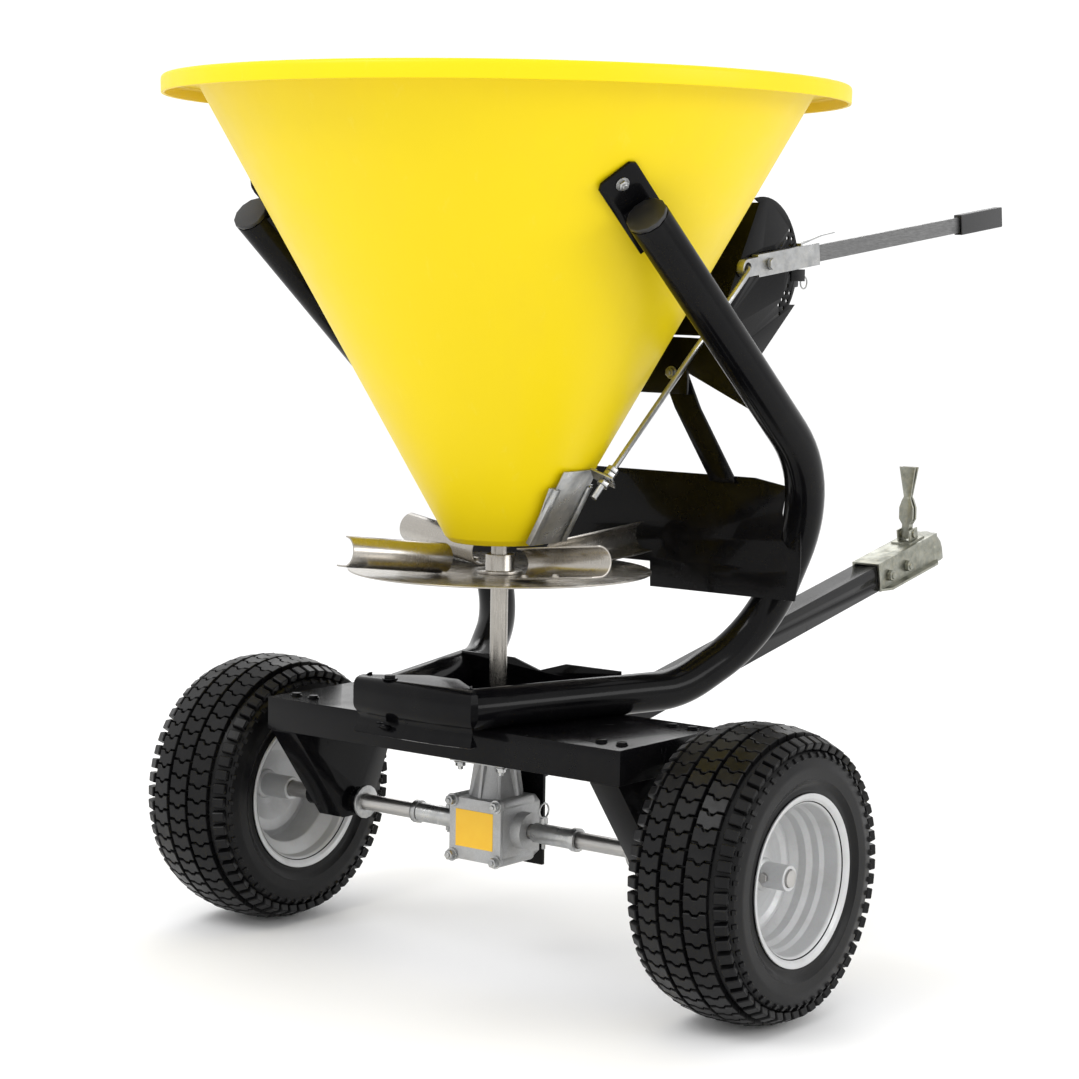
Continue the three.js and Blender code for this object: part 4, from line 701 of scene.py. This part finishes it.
# %% Valve and rim assembly
def valve():
    at = Vector((0, 0, 0))
    stem = spun([(0.4, 0, 0), (7.5, 0, 1), (7, 3, 1), (4.6, 6, 2), (4.2, 20, 1), (3.6, 21, 0), (3.6, 24, 0),
                 (5, 24, 0.6),
                 (5, 33, 1.2), (0.4, 33.5, 0)], "Z", at, 24)
    stem.data.transform(Matrix.Rotation(math.radians(-62), 4, "X"))
    turn = Matrix.Rotation(math.radians(-38), 4, "Y")
    stem.data.transform(Matrix.Translation(WHEEL) @ turn @ Matrix.Translation((0, 20 * MM, 90 * MM)))
    return stem


rim = join([rim_barrel, rim_disc, hub_tube, hub_weld, hub_weld_back])
rim_twin = mirrored(rim)
finish_piece(rim, "pressed_rim_left", "axle", "silver_paint", ("rim_left",))
finish_piece(rim_twin, "pressed_rim_right", "axle", "silver_paint", ("rim_right",))
valve_left = valve()
finish_piece(mirrored(valve_left), "valve_right", "axle", "black_plastic")
finish_piece(valve_left, "valve_left", "axle", "black_plastic")
print("rims ready")

# %% [markdown]
# ## Hopper
# The hopper is one moulded shell: a plain cone that rolls over into a wide flat lip, which is
# turned down at its edge for stiffness. It is spun from a profile with generous corner radii and
# has the outlet window cut through its right side, as the CAD solid has.

# %% Hopper
HOPPER_LOW, HOPPER_HIGH = (value / MM for value in (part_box("hopper")[0][2] - GROUND,
                                                    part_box("hopper")[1][2] - GROUND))
LIP_R = span("hopper").x / 2 / MM
CONE = 0.5602
BOTTOM_R = 74.4
WALL = 6.0
LIP_DROP = 25.0


def cone_r(z):
    return BOTTOM_R + (z - HOPPER_LOW) * CONE


top = HOPPER_HIGH
hopper = spun([
    (17.4, HOPPER_LOW, 0), (BOTTOM_R - 4, HOPPER_LOW, 5), (cone_r(HOPPER_LOW + 8), HOPPER_LOW + 8, 6),
    (cone_r(top - 7), top - 7, 14), (LIP_R - 6, top - 7, 5), (LIP_R - 5.5, top - LIP_DROP, 1.5),
    (LIP_R - 0.6, top - LIP_DROP, 1.5),
    (LIP_R, top, 7), (cone_r(top) - WALL - 1, top, 10),
    (cone_r(HOPPER_LOW + WALL) - WALL - 1, HOPPER_LOW + WALL, 6),
    (17.4, HOPPER_LOW + WALL, 0)], "Z", Vector((AXLE.x, 0, GROUND)), 160)
WINDOW_AT, WINDOW_SIZE = (0, -120, 648.5), (54, 160, 46)
clear()
bpy.ops.mesh.primitive_cube_add(size=1, location=place(*WINDOW_AT))
window = bpy.context.object
window.dimensions = [side * MM for side in WINDOW_SIZE]
apply_place(window)
hole = hopper.modifiers.new("window", "BOOLEAN")
hole.object, hole.operation, hole.solver = window, "DIFFERENCE", "EXACT"
clear()
bpy.context.view_layer.objects.active = hopper
bpy.ops.object.modifier_apply(modifier="window")
bpy.data.objects.remove(window)
finish_piece(hopper, "moulded_hopper", "chassis", "yellow_plastic", ("hopper",), smooth=40)
print("hopper", len(hopper.data.polygons), "faces")

# %% [markdown]
# ## Support tubes
# Two bent tubes carry the hopper, as two hands would. Each starts as a disc of vertices at the
# tube's top. It is extruded along the straight runs and spun about the centre of each bend, which
# is how a bender forms the real tube. The top end is closed, and a cap covers it.

# %% Bent tube
TUBE_R = 28.5
TUBE_KNEES = [(-145, -350, 1070), (302, -346, 702), (316, -239, 476), (190, -183, 398.8), (-180, -70, 398.8)]
TUBE_BENDS = [250, 156, 150]


def bent_tube(knees, bends, radius, sides, steps):
    """A tube along straight runs joined by circular bends, closed by a flat face at each end."""
    knees = [place(*knee) for knee in knees]
    clear()
    bpy.ops.mesh.primitive_circle_add(vertices=sides, radius=radius * MM, fill_type="NGON")
    piece = bpy.context.object
    piece.data.transform((knees[1] - knees[0]).to_track_quat("Z", "Y").to_matrix().to_4x4())
    piece.data.transform(Matrix.Translation(knees[0]))
    apply_place(piece)
    edit(piece)
    here = knees[0]
    for before, knee, after, bend in zip(knees, knees[1:], knees[2:], bends):
        into, out = (knee - before).normalized(), (after - knee).normalized()
        turn = into.angle(out)
        reach = bend * MM * math.tan(turn / 2)
        start = knee - into * reach
        bpy.ops.mesh.extrude_region_move(TRANSFORM_OT_translate={"value": start - here})
        axis = into.cross(out).normalized()
        centre = start + axis.cross(into).normalized() * bend * MM
        bpy.ops.mesh.spin(steps=max(3, round(steps * turn)), angle=-turn, center=centre, axis=axis)
        here = knee + out * reach
    bpy.ops.mesh.extrude_region_move(TRANSFORM_OT_translate={"value": knees[-1] - here})
    bpy.ops.mesh.select_all(action="SELECT")
    bpy.ops.mesh.remove_doubles(threshold=1e-5)
    bpy.ops.mesh.normals_make_consistent(inside=False)
    bpy.ops.object.mode_set(mode="OBJECT")
    return piece


support = bent_tube(TUBE_KNEES, TUBE_BENDS, TUBE_R, 40, 14)
bevel(support, 0.8 * MM, 2, 50)
support_twin = mirrored(support)
finish_piece(support, "bent_tube_right", "chassis", "black_paint", ("support_tube_right",), smooth=40)
finish_piece(support_twin, "bent_tube_left", "chassis", "black_paint", ("support_tube_left",), smooth=40)
print("tube", len(support.data.polygons), "faces")

# %% [markdown]
# ## Fasteners
# Bolts and nuts are modelled once at the origin, pointing up Z, and copied to where they belong.
# A head is a hexagonal prism with its top corners turned off. A flange nut has a wider foot, and
# the bolt's end stands a little proud of it.

# %% Bolt, nut and washer models
def hex_head(across, height, washer=0.0, stub=0.0, stub_r=0.0):
    clear()
    bpy.ops.mesh.primitive_cylinder_add(vertices=6, radius=across / 3 ** 0.5 * MM, depth=height * MM,
                                        location=(0, 0, height / 2 * MM))
    head = bpy.context.object
    apply_place(head)
    bevel(head, min(across, height) * 0.10 * MM, 2, 30)
    parts = [head]
    if washer:
        parts.append(spun([(0.3, -0.1, 0), (washer / 2, -0.1, 0.3), (washer / 2, 1.7, 0.4), (0.3, 1.7, 0)],
                          "Z", Vector(), 32))
    if stub:
        parts.append(spun([(0.3, height - 1, 0), (stub_r, height - 1, 0), (stub_r, height + stub - 0.6, 0),
                           (stub_r - 0.7, height + stub, 0), (0.3, height + stub, 0)], "Z", Vector(), 20))
    return join(parts) if len(parts) > 1 else head


def aimed(point, direction, turn=0.0):
    """Matrix that stands a Z-up model on a point, along a direction."""
    aim = Vector(direction).normalized().to_track_quat("Z", "Y").to_matrix().to_4x4()
    return Matrix.Translation(point) @ aim @ Matrix.Rotation(math.radians(turn), 4, "Z")


def fasteners(name, model, spots, material=None):
    """Copies a Z-up model to many (point, direction[, turn]) spots as one piece."""
    piece = copies(model, [aimed(*spot) for spot in spots])
    return finish_piece(piece, name, "chassis", "zinc_plate", (), material, smooth=34)


def both(spots):
    """Every spot and its mirror image across the machine's middle."""
    return spots + [(Vector((p.x, -p.y, p.z)), Vector((d[0], -d[1], d[2])), *rest) for p, d, *rest in spots]


print("fastener tools ready")

# %% [markdown]
# ## Spinner disc and vanes
# The disc is one stainless pressing, slightly dished. Each vane is a half pipe: its concave side
# leads and scoops the material, and a flat foot along its lower edge takes two bolts. The half
# pipe is an arc extruded along its length, and a solidify modifier gives the sheet its thickness.

# %% Spinner disc
DISC_Z = 566.0
DISC_R = 217.0
shaft_at = Vector((AXLE.x, 0, GROUND))
disc = spun([(14, DISC_Z, 0), (120, DISC_Z, 12), (170, DISC_Z + 3, 20), (DISC_R, DISC_Z + 6, 0.8),
             (DISC_R, DISC_Z + 8.5, 1.0),
             (170, DISC_Z + 5.5, 20), (120, DISC_Z + 2.5, 12), (14, DISC_Z + 2.5, 0)], "Z", shaft_at, 128)
finish_piece(disc, "dished_disc", "spinner", "stainless", ("spinner_disc",), smooth=30)
print("disc", len(disc.data.polygons), "faces")

# %% [markdown]
# The vanes' sizes are shared by all four. Their height is read from the first packed vane.

# %% Vane sizes
VANE_R, VANE_FROM, VANE_TO, VANE_OFFSET, VANE_RISE, VANE_AZIMUTH = 22.0, 80.0, 254.0, 31.8, 6.5, 257.8
vane_low = (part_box("vane_one")[0][2] - GROUND) / MM
print("vane foot", round(vane_low, 2), "size", [round(v / MM, 1) for v in span("vane_one")])

# %% [markdown]
# One vane lies along X with its lowest line on the disc. A half circle has its lower edge drawn
# out into a flat foot, and the whole line is then extruded along the vane's length.

# %% Vane model
def vane():
    clear()
    bpy.ops.mesh.primitive_circle_add(vertices=44, radius=(VANE_R - 1.25) * MM, rotation=(0, math.pi / 2, 0))
    piece = bpy.context.object
    apply_place(piece)
    edit(piece)
    bpy.ops.mesh.bisect(plane_co=(0, 0.01 * MM, 0), plane_no=(0, 1, 0), clear_inner=True)
    bpy.ops.mesh.select_all(action="DESELECT")
    bpy.ops.object.mode_set(mode="OBJECT")
    for vertex in piece.data.vertices:
        vertex.select = vertex.co.y < 0.05 * MM and vertex.co.z < 0
    bpy.ops.object.mode_set(mode="EDIT")
    bpy.ops.mesh.extrude_vertices_move(TRANSFORM_OT_translate={"value": (0, -15 * MM, 0)})
    bpy.ops.mesh.select_all(action="SELECT")
    bpy.ops.mesh.extrude_region_move(TRANSFORM_OT_translate={"value": ((VANE_TO - VANE_FROM) * MM, 0, 0)})
    bpy.ops.mesh.select_all(action="SELECT")
    bpy.ops.mesh.normals_make_consistent(inside=False)
    bpy.ops.object.mode_set(mode="OBJECT")
    wall = piece.modifiers.new("sheet", "SOLIDIFY")
    wall.thickness, wall.offset = 2.5 * MM, 0
    bpy.ops.object.modifier_apply(modifier="sheet")
    tidy_shell(piece)
    bevel(piece, 0.5 * MM, 2, 50)
    piece.data.transform(Matrix.Translation((0, 0, VANE_R * MM)))
    return piece


vane_seat = Matrix.Translation((VANE_FROM * MM, -VANE_OFFSET * MM,
                                (vane_low + 0.2) * MM)) @ Matrix.Rotation(math.radians(-VANE_RISE), 4, "Y")
bolt_seats = [vane_seat @ Matrix.Translation((x * MM, -9 * MM, 2.4 * MM)) for x in (26, 92)]
for i, word in enumerate(("one", "two", "three", "four")):
    turn = Matrix.Translation(shaft_at) @ Matrix.Rotation(math.radians(VANE_AZIMUTH + 90 * i), 4, "Z")
    blade = vane()
    blade.data.transform(turn @ vane_seat)
    finish_piece(blade, f"half_pipe_vane_{word}", "spinner", "stainless", (f"vane_{word}",), smooth=40)
    heads = copies(hex_head(9, 4, 13), [turn @ seat for seat in bolt_seats])
    finish_piece(heads, f"vane_{word}_bolts", "spinner", "stainless")
print("vanes ready")

# %% [markdown]
# ## Folded and machined pieces
# These nodes keep their shape and gain soft edges: sheet gets a thin break, castings a rounder one.

# %% Softened nodes
for node in ("base_tray", "axle_hanger_right", "axle_hanger_left", "front_tie_plate", "front_crossmember",
             "shield_brace_right",
             "shield_brace_left", "deflector_shield", "hopper_bracket_right", "hopper_bracket_left",
             "quadrant_bracket", "tongue"):
    refined(node, 0.7)
for node in ("gearbox_housing", "gearbox_cover"):
    refined(node, 1.8, 3, 28, smooth=38)
for node in ("tube_cap_right", "tube_cap_left"):
    refined(node, 3.5, 4, 40, smooth=40)
refined("stop_knob", 1.6, 3, 30, smooth=36)
refined("lever_grip", 4.5, 5, 30, smooth=50)
refined("lever_bar", 0.8, material=LEVER_STEEL)
for node in ("stop_clamp", "lever_channel", "shutter_guide", "shutter_slide", "spinner_hub", "lynch_pin",
             "agitator",
             "half_shaft_right", "half_shaft_left", "shaft_sleeve_right", "shaft_sleeve_left",
             "axle_bush_right",
             "axle_bush_left", "lever_pivot_bolt", "link_rod", "hopper_bush"):
    refined(node, 0.5)
for node in ("coupler_body", "latch_lever", "latch_jaw", "coupler_bolt_rear", "coupler_bolt_front"):
    refined(node, 0.9, 3, 30, OLIVE_ZINC, 36)
print("softened nodes ready")

# %% [markdown]
# The spinner's shaft is ground bar: a thick length that shows below the disc and a thinner stem
# that drops into the gearbox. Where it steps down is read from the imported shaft.

# %% Spinner shaft
shaft_node = frame["nodes"]["spinner_shaft"]
stations = [(shaft_node.matrix_world @ v.co) for v in shaft_node.data.vertices]
thick = [p.z for p in stations if math.hypot(p.x - AXLE.x, p.y) > 11 * MM]
low, step, high = ((z - GROUND) / MM for z in (min(p.z for p in stations), min(thick),
                                               max(p.z for p in stations)))
shaft = spun([(0.3, low, 0), (8, low, 0.6), (8, step, 0), (12.5, step, 0.8), (12.5, high, 1.2),
              (0.3, high, 0)], "Z", shaft_at, 64)
finish_piece(shaft, "ground_shaft", "spinner", "stainless", ("spinner_shaft",), smooth=35)
print("shaft from", round(low, 1), "step", round(step, 1), "to", round(high, 1))

# %% [markdown]
# ## Nose band
# One strip of sheet wraps the rear ends of both tubes. Seen from the end it is a shallow C: the
# roof rolls over into the face, the face tucks in above a lip, and the lip hangs behind the tray.
# It is a grid whose rows follow that section and whose columns follow the two bends and corners,
# given its thickness by a solidify modifier.

# %% Nose band
NOSE_LINE = [(-176, -106), (-192, -106), (-200, -48), (-200, 0), (-200, 48), (-192, 106), (-176, 106)]
NOSE_ROWS = [(15, 431.6), (9, 430.6), (4, 427.6), (1.2, 423), (0, 416), (0, 392), (1.5, 386), (6, 380),
             (10, 374.5), (10.5, 371),
             (7, 364), (3, 358), (1, 353)]


def inset_line(line, depth):
    """The line moved inwards, square to its neighbours at each point."""
    moved = []
    for i, (x, y) in enumerate(line):
        before, after = Vector(line[max(i - 1, 0)]), Vector(line[min(i + 1, len(line) - 1)])
        run = (after - before).normalized()
        moved.append((x + run.y * depth, y - run.x * depth))
    return moved


rows = [[(-122 if abs(y) < 100 else -170, y * 0.56 if abs(y) < 100 else y * 0.85, 431.6) for x,
         y in NOSE_LINE]]
rows += [[(x, y, z) for x, y in inset_line(NOSE_LINE, depth)] for depth, z in NOSE_ROWS]
clear()
bpy.ops.mesh.primitive_grid_add(x_subdivisions=len(NOSE_LINE) - 1, y_subdivisions=len(rows) - 1, size=1)
band = bpy.context.object
for vertex, point in zip(band.data.vertices, [p for row in rows for p in row]):
    vertex.co = place(*point)
edit(band)
bpy.ops.mesh.normals_make_consistent(inside=False)
bpy.ops.object.mode_set(mode="OBJECT")
wall = band.modifiers.new("sheet", "SOLIDIFY")
wall.thickness, wall.offset = 3.6 * MM, -1
clear()
bpy.context.view_layer.objects.active = band
bpy.ops.object.modifier_apply(modifier="sheet")
tidy_shell(band)
bevel(band, 1.0 * MM, 2, 40)
finish_piece(band, "wrapped_nose_band", "chassis", "black_paint", ("nose_band",), smooth=40)
print("nose band", len(band.data.polygons), "faces")

# %% [markdown]
# ## Hopper straps
# Each strap runs past its tube's end, where a flange bolt goes through strap and hopper wall. The
# bolt's nut and a wide washer are inside the hopper.

# %% Strap bolts
tube_top, tube_next = place(*TUBE_KNEES[0]), place(*TUBE_KNEES[1])
tube_up = (tube_top - tube_next).normalized()
across_top = Vector((TUBE_KNEES[0][0], TUBE_KNEES[0][1], 0)).normalized()
slant = math.atan(CONE)
cone_out = (across_top * math.cos(slant) - Vector((0, 0, math.sin(slant)))).normalized()
touch = place(0, 0, TUBE_KNEES[0][2]) + across_top * (cone_r(TUBE_KNEES[0][2]) + 0.6) * MM
strap_up = (tube_up - cone_out * tube_up.dot(cone_out)).normalized()


def on_strap(along, side, lift):
    point = tube_top - cone_out * (tube_top - touch).dot(cone_out)
    return point + strap_up * along * MM + strap_up.cross(cone_out) * side * MM + cone_out * lift * MM


strap_bolts = both([(on_strap(40, 0, 5), cone_out, 12)])
fasteners("strap_bolts", hex_head(13, 6.5, 19, 3, 3.6), strap_bolts)
inner_nuts = both([(on_strap(40, 0, -WALL - 3.5), -cone_out, 30)])
fasteners("strap_nuts_inside", hex_head(13, 6, 26, 3, 3.6), inner_nuts)
print("strap bolts", len(strap_bolts))

# %% [markdown]
# ## Weld beads
# A bead is a row of overlapping flattened drops, one every few millimetres, as a welder lays them.
# The same low model is used for every bead, turned to face along its seam.

# %% Weld beads
DROP_SIZE, DROP_STEP = 5.0, 3.2


def bead_line(points):
    """Places along a bent line of points, evenly spaced."""
    places = []
    for start, end in zip(points, points[1:]):
        run = end - start
        count = max(1, round(run.length / (DROP_STEP * MM)))
        for i in range(count):
            here = start + run * (i / count)
            aim = run.normalized().to_track_quat("Z", "Y").to_matrix().to_4x4()
            places.append(Matrix.Translation(here) @ aim @ Matrix.Scale(DROP_SIZE * MM, 4))
    return places


def drop():
    clear()
    bpy.ops.mesh.primitive_uv_sphere_add(segments=10, ring_count=6, radius=0.5)
    piece = bpy.context.object
    piece.data.transform(Matrix.Diagonal((1, 1, 0.62, 1)))
    return piece


def ring_points(centre, axis, radius, steps=24):
    frame_at = Vector(axis).normalized().to_track_quat("Z", "Y").to_matrix()
    points = []
    for i in range(steps + 1):
        a = math.radians(360 * i / steps)
        points.append(centre + frame_at @ Vector((math.cos(a), math.sin(a), 0)) * radius * MM)
    return points


bearing_in = 267.0
seams = []
for side in (-1, 1):
    seams.append(ring_points(place(0, side * (bearing_in - 0.5), 202), (0, 1, 0), 18.2))
    seams.append([place(x, side * (bearing_in - 0.5), 364.6) for x in (-130, -40, 40, 86)])
welds = copies(drop(), [m for line in seams for m in bead_line(line)])
finish_piece(welds, "hanger_welds", "chassis", "black_paint", smooth=60)
print("weld drops", sum(len(bead_line(line)) for line in seams))

# %% [markdown]
# ## Gearbox
# The housing and its rear cover are finished castings above. Around them go the screws of the
# cover, the bolts of the neck flange, the drain plug, and a plain orange label on the cover.

# %% Gearbox fasteners and label
def rear_face(node, y, z):
    """How far forward of the axle a line running forwards first meets a node."""
    target = frame["nodes"][node]
    corners = [target.matrix_world @ vertex.co for vertex in target.data.vertices]
    surface = BVHTree.FromPolygons(corners, [list(face.vertices) for face in target.data.polygons])
    where = surface.ray_cast(place(-600, y, z), Vector((1, 0, 0)))[0]
    return (where.x - AXLE.x) / MM


cover_face, boss_face = rear_face("gearbox_cover", 2, 203), rear_face("gearbox_cover", 40, 242)
print("cover face", cover_face, "boss", boss_face, "housing",
      [round(v / MM, 1) for v in span("gearbox_housing")])
GEARBOX_Z, SCREW_OUT, NECK_OUT = 202, 40, 37
AROUND = (-1, 1)
cover_screws = [(place(boss_face, y * SCREW_OUT, GEARBOX_Z + z * SCREW_OUT), (-1, 0, 0), 10 * y * SCREW_OUT)
                for y in AROUND for z in AROUND]
fasteners("cover_screws", hex_head(13, 9, 19, 2.5, 3.6), cover_screws)
neck_bolts = [(place(x * NECK_OUT, y * NECK_OUT, 296.5), (0, 0, -1), x * NECK_OUT) for x in AROUND
              for y in AROUND]
fasteners("neck_flange_bolts", hex_head(13, 7, 18, 5, 3.8), neck_bolts)
drain = [(place(-6, 0, GEARBOX_Z - 45), (0, 0, -1), 0)]
fasteners("drain_plug", hex_head(14, 5, 20), drain)

clear()
bpy.ops.mesh.primitive_cube_add(size=1, location=place(cover_face - 0.25, 1, 203))
label = bpy.context.object
label.dimensions = (0.5 * MM, 68 * MM, 54 * MM)
apply_place(label)
bevel(label, 0.15 * MM, 1, 30)
finish_piece(label, "plain_label", "chassis", "yellow_plastic", material=LABEL, smooth=0)
print("gearbox dressed")

# %% [markdown]
# ## Frame fasteners
# Two bolts hold the braces to the front crossmember. The bolts through the tray show as heads on
# its top and as nuts below.

# %% Frame fasteners
brace_rear = (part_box("shield_brace_right")[0][0] - AXLE.x) / MM
print("brace rear", round(brace_rear, 1))
frame_bolts = both([(place(brace_rear - 5.3, -121, 853), (-1, 0, 0), 0)])
fasteners("brace_bolts", hex_head(13, 7, 19, 4, 3.8), frame_bolts)
tray_bolts = both([(place(x, -y, 370), (0, 0, 1), x) for x,
                   y in ((-104, 262), (-104, 296), (62, 262), (62, 296), (-62, 26), (62, 26))])
fasteners("tray_bolts", hex_head(13, 4.5, 17), tray_bolts, material=FINISH["black_paint"])
tray_ends = both([(place(x, -y, 365.8), (0, 0, -1), x) for x, y in ((-104, 120), (62, 120), (-122, 40))])
fasteners("tray_bolt_ends", hex_head(13, 6.5, 18, 6, 3.8), tray_ends)
print("frame fasteners ready")

# %% [markdown]
# ## Wire ring
# A plain wire ring stands in for the spring pin that keeps the lever stop on the quadrant. It is
# placed at the clamp's outer end, where it clears the lever's path and the quadrant's edge.

# %% Wire ring
RING_R, WIRE_R = 9, 1.3
clip_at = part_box("stop_clamp")
clip_centre = Vector((clip_at[1][0] + 3 * MM, clip_at[0][1] + 4 * MM, clip_at[0][2] - 2 * MM))
clear()
bpy.ops.mesh.primitive_torus_add(major_radius=RING_R * MM, minor_radius=WIRE_R * MM, major_segments=36,
                                 minor_segments=10,
                                 location=clip_centre, rotation=(math.pi / 2, 0.3, 0))
clip_loop = bpy.context.object
apply_place(clip_loop)
finish_piece(clip_loop, "stop_ring", "lever_stop", "zinc_plate", smooth=60)
print("clip at", [round(v, 3) for v in clip_centre])

# %% [markdown]
# The nose band is held by one bolt that runs right through it, with a washer and head on the roof
# and a nut tucked into the hollow above the lip.

# %% Nose bolt
nose_heads = [(place(-186, 44, 431.7), (0, 0, 1), 10), (place(-196, 44, 369), (-0.5, 0, -0.86), 20)]
fasteners("nose_bolt", hex_head(15, 6, 22), nose_heads, material=FINISH["black_paint"])
print("nose bolt ready")
